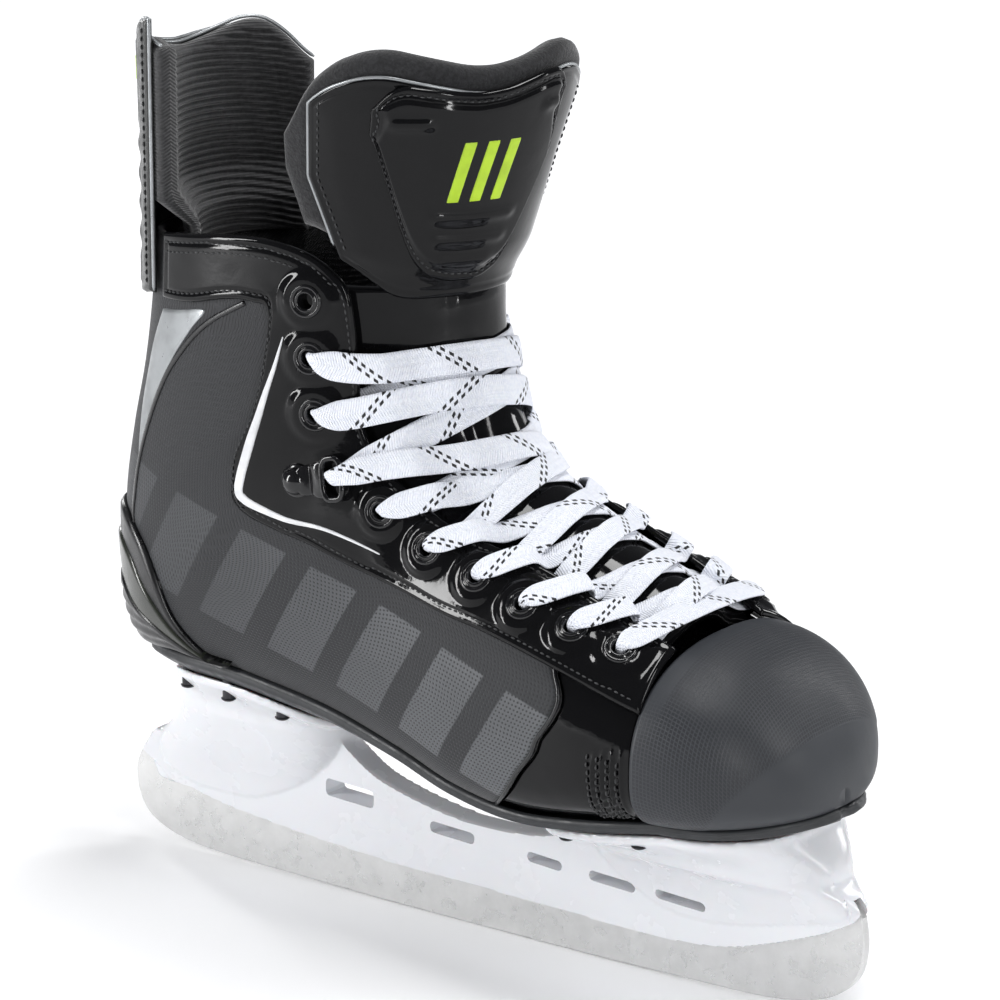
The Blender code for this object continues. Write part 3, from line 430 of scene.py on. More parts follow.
def nose(s):
    """The toe's section at s, ahead of the table, on the true ellipse."""
    _, sole, _, top, widest, width, low, high = SECTIONS[0]
    sin = np.sin(math.pi / 2 * (1 - s / NOSE_STEPS))
    x = NOSE_X + NOSE_LENGTH * sin
    along, edge = (x - NOSE_X + 9) / (NOSE_LENGTH + 9), 9 / (NOSE_LENGTH + 9)
    half = width * (np.clip(1 - along ** 2.4, 0, 1) / (1 - edge ** 2.4)) ** (1 / 2.4)
    crown = NOSE_FRONT_Z + (top - NOSE_FRONT_Z) * np.clip(1 - np.abs(sin) ** 2.2, 0, 1) ** .6
    same = np.ones_like(x)
    return np.stack([x, sole + NOSE_SOLE_RISE * sin ** 2, x, crown, widest * same, half, low * same, high * same], -1)


def section(s):
    s = np.clip(s, 0.0, LAST)
    i = np.minimum(s.astype(int), LAST - 1)
    row = between(TABLE, i, (s - i)[..., None])
    return np.where((s < NOSE_STEPS)[..., None], nose(np.minimum(s, NOSE_STEPS)), row)


def on_boot(s, phi):
    """Points of the boot's surface: phi is 0 at the sole or back and 1 at the instep; Y is outward."""
    s, phi = np.broadcast_arrays(np.asarray(s, float), np.asarray(phi, float))
    bx, bz, tx, tz, widest, half, low, high = np.moveaxis(section(s), -1, 0)
    turn = phi * math.pi
    cos, sin = np.cos(turn), np.maximum(np.sin(turn), 0.0)
    power = 2 / np.where(cos > 0, low, high)
    reach = np.abs(cos) ** power
    along = np.where(cos > 0, widest - widest * reach, widest + (1 - widest) * reach)
    return np.stack([bx + (tx - bx) * along, half * sin ** power, bz + (tz - bz) * along], -1)


def boot_normal(s, phi):
    s, phi = np.clip(s, .04, LAST - .01), np.clip(phi, .004, .996)
    across = on_boot(s + .02, phi) - on_boot(s - .02, phi)
    up = on_boot(s, phi + .003) - on_boot(s, phi - .003)
    normal = np.cross(across, up)
    return normal / np.linalg.norm(normal, axis=-1, keepdims=True)


def boot(s, phi, side, off=0.0):
    s, phi = np.broadcast_arrays(np.asarray(s, float), np.abs(phi))
    off = np.broadcast_to(off, s.shape)[..., None]
    point = on_boot(s, phi) + off * boot_normal(s, phi)
    middle = (s <= 0) | (phi == 0) | (phi == 1)
    point[..., 1] = np.where(middle, 0.0, np.maximum(point[..., 1], 0.0))
    return point * (1, side, 1)


def mirrored(point, v):
    """The points moved to the inner side where v is above 0 and to the outer side elsewhere."""
    point[..., 1] *= np.where(v > 0, MEDIAL, LATERAL)
    return point


def boot_q(s, q, off=0.0):
    """A point by its share q from the instep line, negative on the outer side; it passes over the instep."""
    q = np.asarray(q, float)
    return mirrored(boot(s, 1 - np.abs(q), 1, off), q)


def boot_direction(s, phi, side):
    return boot_normal(s, phi) * (1, side, 1)


def settle(at, target, s, phi):
    """The (s, phi), from a first guess, whose two coordinates given by at come to the target."""
    for _ in range(14):
        here = at(s, phi)
        ds, dp = (at(s + .01, phi) - here) / .01, (at(s, phi + .002) - here) / .002
        step = np.linalg.lstsq(np.stack([ds, dp], 1), target - here, rcond=None)[0]
        s = min(max(s + np.clip(step[0], -.5, .5), 0.0), LAST - .001)
        phi = min(max(phi + np.clip(step[1], -.05, .05), .01), .985)
    return s, phi


def side_point(x, z):
    """The (s, phi) of the boot's surface seen at (x, z) from the side."""
    target = np.array((x, z), float)
    s, phi = np.meshgrid(np.arange(1, LAST + .01, .5), np.arange(.1, .99, .04))
    away = np.linalg.norm(on_boot(s, phi)[..., [0, 2]] - target, axis=-1)
    best = np.unravel_index(away.argmin(), away.shape)
    return np.array(settle(lambda s, phi: on_boot(s, phi)[[0, 2]], target, float(s[best]), float(phi[best])))


def underside(x, y, off):
    """Height of the boot's rounded underside at (x, y), off outward from its surface."""
    def at(s, phi):
        return (on_boot(s, phi) + off * boot_normal(s, phi))[[0, 1]]

    first = float(np.interp(-x, -TABLE[1:13, 0], range(1, 13)))
    s, phi = settle(at, np.array((x, abs(y))), first, .12)
    return float(boot(s, phi, 1, off)[2])


# ---------------------------------------------------------------- mesh building
def unit(vectors):
    return vectors / np.maximum(np.linalg.norm(vectors, axis=-1, keepdims=True), 1e-9)


def smooth(value, low, high):
    t = np.clip((value - low) / (high - low), 0, 1)
    return t * t * (3 - 2 * t)


def make(name, points, faces, look, cloth=None, sharp=None):
    """A named object from points in mm; cloth is a vector for each point that its material reads."""
    data = bpy.data.meshes.new(name)
    data.from_pydata([tuple(p) for p in np.asarray(points) * MM], [], faces)
    if cloth is not None:
        layer = data.attributes.new("cloth", "FLOAT_VECTOR", "POINT")
        layer.data.foreach_set("vector", np.ascontiguousarray(cloth, np.float32).ravel())
    mesh = bmesh.new()
    mesh.from_mesh(data)
    bmesh.ops.recalc_face_normals(mesh, faces=mesh.faces)
    mesh.to_mesh(data)
    mesh.free()
    data.materials.append(look_of(look) if isinstance(look, str) else look)
    data.shade_smooth()
    if sharp:
        data.set_sharp_from_angle(angle=math.radians(sharp))
    made = bpy.data.objects.new(name, data)
    bpy.context.scene.collection.objects.link(made)
    return made


def grid_faces(rows, cols, start=0, flip=False, wrap=False):
    at = np.arange(rows * cols).reshape(rows, cols) + start
    if wrap:
        at = np.concatenate([at, at[:, :1]], 1)
    quads = np.stack([at[:-1, :-1], at[1:, :-1], at[1:, 1:], at[:-1, 1:]], -1).reshape(-1, 4)
    return (quads[:, ::-1] if flip else quads).tolist()


def arcs(grid):
    """Distances in mm along the rows and along the columns of a grid of points."""
    down = np.linalg.norm(np.diff(grid, axis=0), axis=-1)
    over = np.linalg.norm(np.diff(grid, axis=1), axis=-1)
    down = np.concatenate([np.zeros((1, grid.shape[1])), np.cumsum(down, 0)])
    over = np.concatenate([np.zeros((grid.shape[0], 1)), np.cumsum(over, 1)], 1)
    return down, over


def edge_distance(grid, skip=()):
    """How far each point of a grid is from the grid's border; skip names borders that don't count."""
    down, over = arcs(grid)
    sides = {"start": down, "end": down[-1:] - down, "low": over, "high": over[:, -1:] - over}
    return np.min([d for k, d in sides.items() if k not in skip], 0)


def shell(outer, inner):
    """Points and faces of a closed panel between two grids alike in size."""
    rows, cols = outer.shape[:2]
    faces = grid_faces(rows, cols) + grid_faces(rows, cols, rows * cols, flip=True)
    at = np.arange(rows * cols).reshape(rows, cols)
    border = [*at[0, :-1], *at[:-1, -1], *at[-1, :0:-1], *at[:0:-1, 0]]
    for a, b in zip(border, border[1:] + border[:1]):
        faces.append((int(a), int(b), int(b + rows * cols), int(a + rows * cols)))
    return np.concatenate([outer.reshape(-1, 3), inner.reshape(-1, 3)]), faces


def skin(name, outer, inner, look, cloth=None):
    """A closed panel as an object; its material reads cloth, or else mm along and across."""
    if cloth is None:
        cloth = np.stack([*arcs(outer), np.zeros(outer.shape[:2])], -1)
    return make(name, *shell(outer, inner), look, np.concatenate([cloth.reshape(-1, 3)] * 2))


def rolled(distance, full, radius=1.2):
    """Height of a panel by the distance from its border: rolled over a quarter circle."""
    t = np.clip(1 - distance / radius, 0, 1)
    return full - radius * (1 - np.sqrt(np.maximum(1 - t * t, 0))) * min(1.0, full / radius)


def turned(profile, centre, direction, sides=32):
    """Points and faces of a ring turned about direction from a closed (radius, height) profile."""
    frame_at = np.array(Vector(direction).to_track_quat("Z", "Y").to_matrix())
    turn = np.arange(sides) * 2 * math.pi / sides
    radius, height = np.array(profile, float).T
    local = np.stack([np.cos(turn)[:, None] * radius, np.sin(turn)[:, None] * radius,
                      np.broadcast_to(height, (sides, len(height)))], -1)
    points = local @ frame_at.T + np.array(centre)
    at = np.arange(sides * len(profile)).reshape(sides, -1)
    nxt, side = np.roll(at, -1, 0), np.roll(at, -1, 1)
    quads = np.stack([at, nxt, np.roll(nxt, -1, 1), side], -1).reshape(-1, 4)
    return points.reshape(-1, 3), quads.tolist()


def lathe_solid(profile, centre, direction, sides=24):
    """A solid turned from an open profile whose two ends lie on the axis."""
    profile = np.array(profile, float)
    points, _ = turned(profile[1:-1], centre, direction, sides)
    rows = len(profile) - 2
    axis = np.array(Vector(direction).normalized())
    ends = [np.array(centre) + axis * profile[k][1] for k in (0, -1)]
    at = np.arange(sides * rows).reshape(sides, rows)
    nxt = np.roll(at, -1, 0)
    faces = np.stack([at[:, :-1], nxt[:, :-1], nxt[:, 1:], at[:, 1:]], -1).reshape(-1, 4).tolist()
    faces += [(sides * rows, int(nxt[k, 0]), int(at[k, 0])) for k in range(sides)]
    faces += [(sides * rows + 1, int(at[k, -1]), int(nxt[k, -1])) for k in range(sides)]
    return np.concatenate([points, ends]), faces


def sweep(path, ups, shape, closed_ends=True):
    """Points and faces of a tube: shape (across, up) for each place of path, or one shape for all."""
    path, ups = np.array(path, float), unit(np.array(ups, float))
    ahead = unit(np.gradient(path, axis=0))
    ups = unit(ups - (ups * ahead).sum(-1, keepdims=True) * ahead)
    across = np.cross(ahead, ups)
    shape = np.broadcast_to(np.array(shape, float), (len(path), *np.array(shape).shape[-2:]))
    points = path[:, None] + across[:, None] * shape[..., :1] + ups[:, None] * shape[..., 1:]
    count = shape.shape[1]
    faces = grid_faces(len(path), count, wrap=True)
    if closed_ends:
        faces.append(list(range(count))[::-1])
        faces.append(list(range((len(path) - 1) * count, len(path) * count)))
    return points.reshape(-1, 3), faces


def oval(sides, power_x, power_y):
    """Both coordinates round a blunted oval, each from -1 to 1."""
    turn = np.arange(sides) * 2 * math.pi / sides
    cos, sin = np.cos(turn), np.sin(turn)
    return np.sign(cos) * abs(cos) ** power_x, np.sign(sin) * abs(sin) ** power_y


def round_shape(radius, sides=10, flat=1.0):
    turn = np.arange(sides) * 2 * math.pi / sides
    return np.stack([np.cos(turn) * radius, np.sin(turn) * radius * flat], -1)


def merged(parts):
    """Several (points, faces) as one."""
    points, faces, start = [], [], 0
    for p, f in parts:
        points.append(np.asarray(p))
        faces += [[i + start for i in face] for face in f]
        start += len(p)
    return np.concatenate(points), faces


def evenly(path, step):
    """A polyline's points at even steps along it."""
    path = np.array(path, float)
    run = np.concatenate([[0], np.cumsum(np.linalg.norm(np.diff(path[:, :3], axis=0), axis=1))])
    count = max(int(run[-1] / step), 1)
    at = (np.arange(count) + .5) * run[-1] / count
    return np.stack([np.interp(at, run, path[:, k]) for k in range(path.shape[1])], 1)


def stitches(lines, pitch=2.3, length=1.5, radius=.34):
    """Sewn stitches along lines of (point, normal) rows, six numbers each: small beads half sunk in."""
    parts = []
    for line in lines:
        line = np.array(line, float)
        places = evenly(line, pitch)
        ahead = unit(np.gradient(places[:, :3], axis=0)) if len(places) > 1 else unit(line[-1:, :3] - line[:1, :3])
        for place, along in zip(places, ahead):
            reach = np.array([-.5, -.3, 0, .3, .5])[:, None] * length * along
            path = place[:3] + reach + place[3:] * np.array([-.25, .0, .06, .0, -.25])[:, None] * radius * 3
            size = np.array([.35, .85, 1, .85, .35])
            shape = size[:, None, None] * round_shape(radius, 6)
            parts.append(sweep(path, np.repeat(place[None, 3:], 5, 0), shape))
    return merged(parts)


def piping(name, rows, radius, look, flat=1.0):
    rows = np.array(rows, float)
    places = evenly(rows, 1.2)
    size = np.ones(len(places))
    size[[0, -1]] = .5
    points, faces = sweep(places[:, :3], places[:, 3:], size[:, None, None] * round_shape(radius, 10, flat))
    return make(name, points, faces, look)


def on(piece, body, slot_name, *nodes):
    """The piece rides on a body and stands for CAD nodes; slot_name is not used."""
    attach(piece, body)
    if nodes:
        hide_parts(*nodes)
    return piece


def sew(name, lines, body, slot_name, *size):
    """Rows of stitches as one piece that rides on a body."""
    on(make(name, *stitches(lines, *size), "thread"), body, slot_name)


# ---------------------------------------------------------------- boot panels
FACING_LOWER = [(-95, 192), (-82, 193), (-68, 196), (-58, 196.5), (-52, 194), (-54, 177), (-58, 161),
                (-65, 147), (-67, 138), (-64.5, 132), (-52, 127.5), (-26, 121), (5, 114), (29, 110), (55, 104),
                (84.5, 95.5)]
FACING_UPPER = [(-95, 212), (-82, 214), (-68.5, 215.5), (-55, 216), (-44, 214.4), (-36.6, 211.5), (-31.4, 207.6),
                (-27.7, 202.8), (-26, 194), (-25, 184), (-24.4, 171.7), (-16.2, 152.7), (.7, 139.3), (24, 131),
                (44, 124.7), (82.5, 109)]
EYELETS = [(-39, 199), (-38, 182), (-36.5, 165), (-13.5, 138), (4, 129), (22.5, 123.5), (39.5, 118), (56, 113.5),
           (71, 109)]
HOOK_RIVET, HOOK_RING = (-42, 144), (-29.5, 146)
TAB_HALF = .75
PHI_SOLE = .2
CUFF_SEAM = 5.0  # a seam this far in from the edge runs along the cuff only
CAP_EDGE, CAP_FOOT = 5.05, .235
SOLE_OFF = (.4, 3.8)
HEEL_ROUND = 11.3
LOWER = np.array([side_point(*p) for p in FACING_LOWER])
UPPER = np.array([side_point(*p) for p in FACING_UPPER])
EYELET_AT = [side_point(*p) for p in EYELETS]


def facing_phi(s, curve):
    points = sorted((tuple(p) for p in curve), key=lambda p: p[0])
    return np.interp(s, [p[0] for p in points], [p[1] for p in points])


def seam(phi):
    knots = [PHI_SOLE, .46, .53, .6, .66]
    return float(np.mean([np.interp(phi + k * .012, knots, [7.3, 6.63, 6.2, 6.05, 6.3]) for k in (-2, -1, 0, 1, 2)]))


def quarter_low(s):
    return np.interp(s, [12.0, 13.2], [PHI_SOLE, .012])


def quarter_high(s):
    ankle = [(13.0, .53), (13.6, .53), (14.1, .54), (14.7, .575), (15.8, .595), (17.1, .6), (17.6, .57),
             (18.2, .52), (19, .50)]
    return np.where(s < 13.0, facing_phi(s, LOWER[9:]) + .02,
                    np.interp(s, [p[0] for p in ankle], [p[1] for p in ankle]))


def quarter_phi(s, v):
    return quarter_low(s) + (quarter_high(s) - quarter_low(s)) * v


def patch_phi(s, v):
    return PHI_SOLE + (facing_phi(s, LOWER[9:]) + .02 - PHI_SOLE) * v


def on_seam(phi_at, v):
    s = 6.5
    for _ in range(6):
        s = seam(float(phi_at(s, v)))
    return s


def boot_panel(name, s, phi, side, outer, inner, look, cloth=None):
    return skin(name, boot(s, phi, side, outer), boot(s, phi, side, inner), look, cloth)


def make_quarters():
    for side, word in SIDES:
        v = np.linspace(0, 1, 60)
        start = np.array([on_seam(quarter_phi, at) + .03 for at in v])
        u = np.linspace(0, 1, 170)[:, None]
        s = start + (18.75 - start) * u
        phi = quarter_phi(s, v)
        base = boot(s, phi, side, 0)
        edge = edge_distance(base, skip=("low",))
        on(boot_panel(f"quarter_{word}_fabric", s, phi, side, rolled(edge, .35, .8), -2.0, "textile"),
           "boot", "woven_textile", f"quarter_{word}")
        rows = [[*boot(s[0, j], phi[0, j], side, .1), *boot_direction(s[0, j], phi[0, j], side)] for j in range(60)]
        on(piping(f"quarter_{word}_seam", rows, .7, "piping"), "boot", "woven_textile")
        u = np.linspace(0, 1, 70)[:, None]
        end = np.array([on_seam(patch_phi, at) - .03 for at in v])
        s = CAP_EDGE + .04 + (end - CAP_EDGE - .04) * u
        phi = patch_phi(s, v)
        base = boot(s, phi, side, 0)
        down, over = arcs(base)
        gather = smooth(down, 1.5, 3.2) * smooth(down, 14.5, 12.5) * smooth(over, 34, 28)
        ribs = np.maximum(np.cos((down - 2.6) * 2 * math.pi / 3.3), -.2)
        fold = .25 * np.sin(over * 1.9 + 1.3 * np.sin(down * .9)) * smooth(down, 2, 6) * smooth(down, 15, 11)
        height = -.9 + gather * (.6 * ribs + fold)
        on(boot_panel(f"vamp_patch_{word}_leather", s, phi, side, height, -2.0, "patent"),
           "boot", "patent_leather", f"vamp_patch_{word}")
        rows = []
        for near in (4.2, 7.5, 10.8, 14.0):
            k = [int(np.argmin(abs(down[:, j] - near))) for j in range(4, 40)]
            rows.append([[*(base[i, j] + boot_direction(s[i, j], phi[i, j], side) * -.55),
                          *boot_direction(s[i, j], phi[i, j], side)] for i, j in zip(k, range(4, 40))])
        sew(f"vamp_patch_{word}_stitching", rows, "boot", "patent_leather")


def facing_height(points, side, edge):
    """Height of the facing over the boot: rolled edges, sewn channels, pads round the eyelets, and their holes."""
    centres = [boot(*at, side) for at in EYELET_AT]
    away = np.stack([np.linalg.norm(points - c, axis=-1) for c in centres])
    pad = np.max([smooth(d, 10.2 if k < 3 else 9.0, 6.6) for k, d in enumerate(away)], 0)
    near = away.min(0)
    height = rolled(edge, 2.2, 1.3)
    height = height - .45 * np.exp(-((edge - 2.9) / .55) ** 2)
    height = height + 1.25 * pad * smooth(edge, .6, 3.6)
    height = np.where(near < 5.4, np.maximum(height, 2.9), height)
    hole = smooth(near, 3.3, 2.6)
    return height * (1 - hole) - 4.5 * hole


def make_facings():
    for side, word in SIDES:
        low, high = spline(LOWER, 330), spline(UPPER, 330)
        v = np.linspace(0, 1, 44)[:, None]
        s = low[:, None, 0] + (high - low)[:, None, 0] * v[:, 0]
        phi = low[:, None, 1] + (high - low)[:, None, 1] * v[:, 0]
        base = boot(s, phi, side, 0)
        edge = edge_distance(base)
        height = facing_height(base, side, edge)
        piece = boot_panel(f"eyestay_{word}_leather", s, phi, side, height, .3, "patent")
        on(piece, "boot", "patent_leather", f"eyestay_{word}")
        lines = []
        _, over = arcs(base)
        for near, from_high in ((2.7, False), (2.7, True), (5.6, True)):
            row = []
            for i in range(4, 96 if near > CUFF_SEAM else 326):
                d = over[i, -1] - over[i] if from_high else over[i]
                j = int(np.argmin(abs(d - near)))
                normal = boot_direction(s[i, j], phi[i, j], side)
                row.append([*(base[i, j] + normal * (height[i, j] + .1)), *normal])
            lines.append(row)
        sew(f"eyestay_{word}_stitching", lines, "boot", "patent_leather", 2.2, 1.5, .3)


EYELET_RING = [(2.35, -2.0), (2.3, 3.4), (2.55, 4.0), (2.95, 4.15), (3.3, 3.95), (3.5, 3.6), (3.75, 3.55), (4.1, 3.95),
               (4.55, 4.05), (4.95, 3.8), (5.15, 3.3), (5.1, 2.6), (3.0, 2.3), (2.8, -2.0)]


def make_eyelets():
    for side, word in SIDES:
        parts = [turned(EYELET_RING, boot(*at, side), boot_direction(*at, side), 40) for at in EYELET_AT]
        on(make(f"eyelets_{word}_rings", *merged(parts), "hardware", sharp=60), "boot", "black_hardware",
           *[f"eyelet_{word}_{k + 1}" for k in range(len(parts))])


def make_hooks():
    """The lace hook: a dome rivet on a strap tab that holds a wire ring, which the lace is folded through."""
    for side, word in SIDES:
        at, ring_at = side_point(*HOOK_RIVET), side_point(*HOOK_RING)
        rivet, out = boot(*at, side), boot_direction(*at, side)
        ring, ring_out = boot(*ring_at, side), boot_direction(*ring_at, side)
        dome = [(0, 2.0), (3.9, 2.2), (4.25, 3.6), (3.9, 4.7), (3.0, 5.9), (1.6, 6.7), (0, 6.9)]
        washer = [(3.2, 2.2), (4.9, 2.3), (5.1, 3.0), (4.6, 3.6), (3.2, 3.7)]
        parts = [lathe_solid(dome, rivet, out, 28), turned(washer, rivet, out, 32)]
        on(make(f"hook_{word}_rivet", *merged(parts), "hardware", sharp=50), "boot", "black_hardware",
           f"hook_rivet_{word}")
        t = np.linspace(0, 1, 26)
        start, end = rivet + out * 4.6, ring + ring_out * 4.9
        reach = np.linalg.norm(end - start)
        path = start + (end - start) * t[:, None]
        ups = unit(out + (ring_out - out) * t[:, None])
        lift = -1.3 * np.exp(-((t - .42) / .12) ** 2)
        path = path + ups * lift[:, None]
        shapes = []
        for share in t:
            run = share * reach
            half = 4.6 * math.sqrt(max(1 - max(1 - run / 4.6, 0) ** 2, .02)) + 1.0 * float(smooth(share, .4, .75))
            x, y = oval(16, .4, .8)
            shapes.append(np.stack([x * half, y * TAB_HALF], -1))
        plate = sweep(path[:22], ups[:22], np.array(shapes)[:22])
        along = unit(end - start)
        across = np.cross(ring_out, along)
        centre = end + along * .6
        turn = np.linspace(0, 2 * math.pi, 49)[:-1]
        cos, sin = np.cos(turn), np.sin(turn)
        loop = centre + along * (np.sign(cos) * abs(cos) ** .6 * 3.4)[:, None] + across * (
            np.sign(sin) * abs(sin) ** .6 * 6.2)[:, None]
        loop = np.concatenate([loop, loop[:2]])
        wire = sweep(loop, np.repeat(ring_out[None], len(loop), 0), round_shape(1.0, 12))
        on(make(f"hook_{word}_loop", *merged([plate, wire]), "hardware", sharp=50), "boot", "black_hardware",
           f"lace_hook_{word}")


# ---------------------------------------------------------------- trim lines on the outer side and its mirror
WHITE_LINE = [(16.53, .606), (15.7, .59), (14.83, .565), (14.2, .54), (13.67, .519), (13.36, .511), (13.1, .515),
              (12.6, .526), (11.6, .545), (9.9, .592)]
REAR_PIPING = [(17.62, .538), (17.45, .497), (17.26, .456), (16.95, .41), (16.51, .362), (15.60, .305),
               (14.9, .275), (14.43, .256), (13.8, .285), (13.17, .322), (12.5, .295), (12.0, .262)]
SILVER = [(17.75, .33), (17.7, .40), (17.62, .47), (17.3, .435), (16.9, .39), (16.4, .345), (15.9, .315),
          (15.3, .29), (15.9, .275), (16.6, .27), (17.2, .285)]


def ribbon(name, line, widths, side, off, look, count=140):
    """A thin raised line of changing width laid on the boot."""
    at = spline(line, count)
    rows = np.concatenate([boot(at[:, 0], at[:, 1], side, off), boot_direction(at[:, 0], at[:, 1], side)], 1)
    width = np.interp(np.linspace(0, 1, count), np.linspace(0, 1, len(widths)), widths)
    shape = np.array([(-.5, 0), (-.42, 1), (-.2, 1.25), (.2, 1.25), (.42, 1), (.5, 0), (.4, -1), (-.4, -1)])
    shapes = shape[None] * np.stack([width, np.full(count, .28)], -1)[:, None]
    return make(name, *sweep(rows[:, :3], rows[:, 3:], shapes), look)


def patch_fill(name, outline, side, off, thick, look):
    """A small raised patch inside a closed outline of (s, phi), crowned towards its middle."""
    ring = spline(outline + outline[:1], 90)[:-1]
    middle = ring.mean(0)
    rings = [middle + (ring - middle) * share for share in (1, .97, .9, .75, .5, .25)]
    heights = (off, off + thick * .7, off + thick, off + thick, off + thick, off + thick)
    grid = np.stack([boot(r[:, 0], r[:, 1], side, h) for r, h in zip(rings, heights)])
    rows, cols = grid.shape[:2]
    faces = grid_faces(rows, cols, wrap=True)
    points = [*grid.reshape(-1, 3), boot(*middle, side, off + thick), boot(*middle, side, off - .6)]
    last = (rows - 1) * cols
    faces += [(last + k, last + (k + 1) % cols, rows * cols) for k in range(cols)]
    faces += [((k + 1) % cols, k, rows * cols + 1) for k in range(cols)]
    return make(name, points, faces, look)


def make_trim():
    for side, word in SIDES:
        on(ribbon(f"accent_{word}_line", WHITE_LINE, [.3, 1.4, 2.4, 3.2, 3.3, 3.2, 3.0, 2.4, 1.5, .4], side, 2.25,
                  "accent"), "boot", "patent_leather")
        on(ribbon(f"quarter_{word}_piping", REAR_PIPING, [1.6, 1.8, 1.8, 1.8, 1.8, 1.6], side, .5, "piping"),
           "boot", "woven_textile")
        on(patch_fill(f"accent_{word}_patch", SILVER, side, .2, .5, "silver"), "boot", "woven_textile")


# ---------------------------------------------------------------- toe cap, sole and heel
def make_toe_cap():
    q = np.linspace(-(1 - CAP_FOOT), 1 - CAP_FOOT, 150)
    s = (np.linspace(0, 1, 90) ** .8 * CAP_EDGE)[:, None] + 0 * q
    q = q + 0 * s
    base = boot_q(s, q)
    edge = edge_distance(base, skip=("start", "low", "high"))
    down, over = arcs(base)
    zone = ((150 - base[..., 0]) / 58) ** 2 + (base[..., 1] / 75) ** 2 + ((base[..., 2] - 52) / 42) ** 2
    mask = smooth(zone, .93, 1.02) * smooth(edge, .8, 2.0)
    mask = mask * np.maximum(smooth(edge, 5.5, 7.5), smooth(abs(q), .25, .42))
    outer = rolled(edge, .9, 1.0) + .22 * smooth(zone, .92, 1.0)
    cloth = np.stack([down[-1:] - down, over - over[:, [75]], mask], -1)
    on(skin("toe_cap_shell", boot_q(s, q, outer), boot_q(s, q, -1.2), "cap", cloth),
       "boot", "toe_plastic", "toe_cap")


def plate_grid(start, end, reach, off, rows=110, cols=41):
    s = np.linspace(start, end, rows)
    edge = reach * np.sqrt(np.maximum(1 - (np.maximum(s - HEEL_ROUND, 0) / (end + .05 - HEEL_ROUND)) ** 2, 0))
    v = np.sin(np.linspace(-1, 1, cols) * math.pi / 2)
    phi = abs(v) * edge[:, None]
    s = s[:, None] + 0 * phi
    return mirrored(boot(s, phi, 1, off), v)


def make_sole():
    outer, inner = plate_grid(.25, 12.9, .215, SOLE_OFF[1]), plate_grid(.25, 12.9, .215, SOLE_OFF[0])
    edge = edge_distance(outer)
    soft = outer + (inner - outer) * (.4 * (1 - smooth(edge, 0, 1.2)))[..., None]
    on(skin("outsole_plate", soft, inner, "sole"), "boot", "sole_plastic", "outsole")
    low = plate_grid(3.4, 12.2, .15, -4.8, 70, 25)
    top_x = [-120, -60, -20, 10, 40, 60, 85, 115]
    top = low.copy()
    top[..., 2] = np.interp(top[..., 0], top_x, [79, 79, 73, 66, 65.5, 67.5, 71, 75])
    edge = edge_distance(low)
    top[..., 2] += -1.2 * (1 - smooth(edge, 0, 3.0))
    on(skin("footbed_pad", top, low, "felt"), "boot", "felt", "footbed")


COUNTER_TOP = [(-126, 121), (-115, 117), (-101.5, 101.5), (-93, 85), (-84, 77)]
COUNTER_FOOT = [(13.15, 0), (13.05, .07), (12.85, .13), (12.5, .185), (12.0, .23), (11.2, .24)]


def make_heel():
    """The heel support: layered shells, each stepped back from the one below, with ribs round the back."""
    top = [np.array([15.1, 0])] + [side_point(*p) for p in COUNTER_TOP]
    low, high = spline(COUNTER_FOOT, 70), spline(top, 70)
    for layer, (first, last, off, look) in enumerate(((0, 1, 2.3, "counter_dark"), (0, .80, 3.1, "counter"),
                                                      (0, .5, 3.7, "counter_dark"))):
        u = np.linspace(first, last, 34)
        half_s = low[:, None, 0] + (high - low)[:, None, 0] * u
        half_p = low[:, None, 1] + (high - low)[:, None, 1] * u
        s = np.concatenate([half_s[:0:-1], half_s])
        q = np.concatenate([-half_p[:0:-1], half_p])
        base = boot(s, abs(q), 1)
        edge = edge_distance(base)
        rib = .25 * np.sin(arcs(base)[1] * 2 * math.pi / 4.2) * smooth(edge, 1, 3) if layer == 2 else 0

        def place(height):
            return mirrored(boot(s, abs(q), 1, height), q)

        piece = skin(f"heel_support_{layer + 1}", place(rolled(edge, off, .9) + rib), place(.4), look)
        on(piece, "boot", "heel_plastic", *(["heel_counter"] if layer == 0 else []))


def make_collar_lining():
    """The padded ankle lining inside the quarters: a knit with ribs round it, fuller between its edges."""
    v = np.linspace(-1, 1, 90)
    s = np.linspace(13.6, 18.6, 150)[:, None] + 0 * v
    phi = abs(v) * .535 + 0 * s

    def place(off):
        return mirrored(boot(s, phi, 1, off), v)

    base = place(-8.5)
    edge = edge_distance(base)
    down, _ = arcs(base)
    inner = -8.6 - 1.4 * smooth(edge, 0, 14) + 2.2 * (1 - smooth(edge, 0, 4)) + .25 * np.sin(down * 2 * math.pi / 1.9)
    piece = skin("collar_lining_pad", place(inner), place(-3.0 + 0 * inner), "knit")
    on(piece, "boot", "liner_knit", "collar_liner")


# ---------------------------------------------------------------- tongue
TONGUE_START, TONGUE_TOP_Z, TONGUE_HALF = 5.35, 203.0, .80
TONGUE_LOW = [(-1, 221), (-.82, 219), (-.6, 207), (-.5, 205), (.75, 205), (.9, 208), (1, 216)]
TONGUE_HIGH = [(-1, 246), (-.9, 261), (-.77, 272), (-.5, 279), (0, 272), (.25, 274), (.5, 279), (.8, 270), (1, 252)]
SHIELD_LOW = [(-.71, 255), (-.65, 242), (-.58, 227), (-.5, 214), (-.42, 208), (-.31, 206), (-.17, 206), (-.07, 210),
              (-.03, 217), (.04, 235), (.07, 252)]
SHIELD_HIGH = [(-.71, 259), (-.66, 265), (-.6, 268), (-.45, 266), (-.33, 265), (-.22, 266), (-.05, 270), (.02, 270),
               (.07, 262)]
BESIDE_TONGUE = [side_point(*p) for p in FACING_UPPER[7:]]


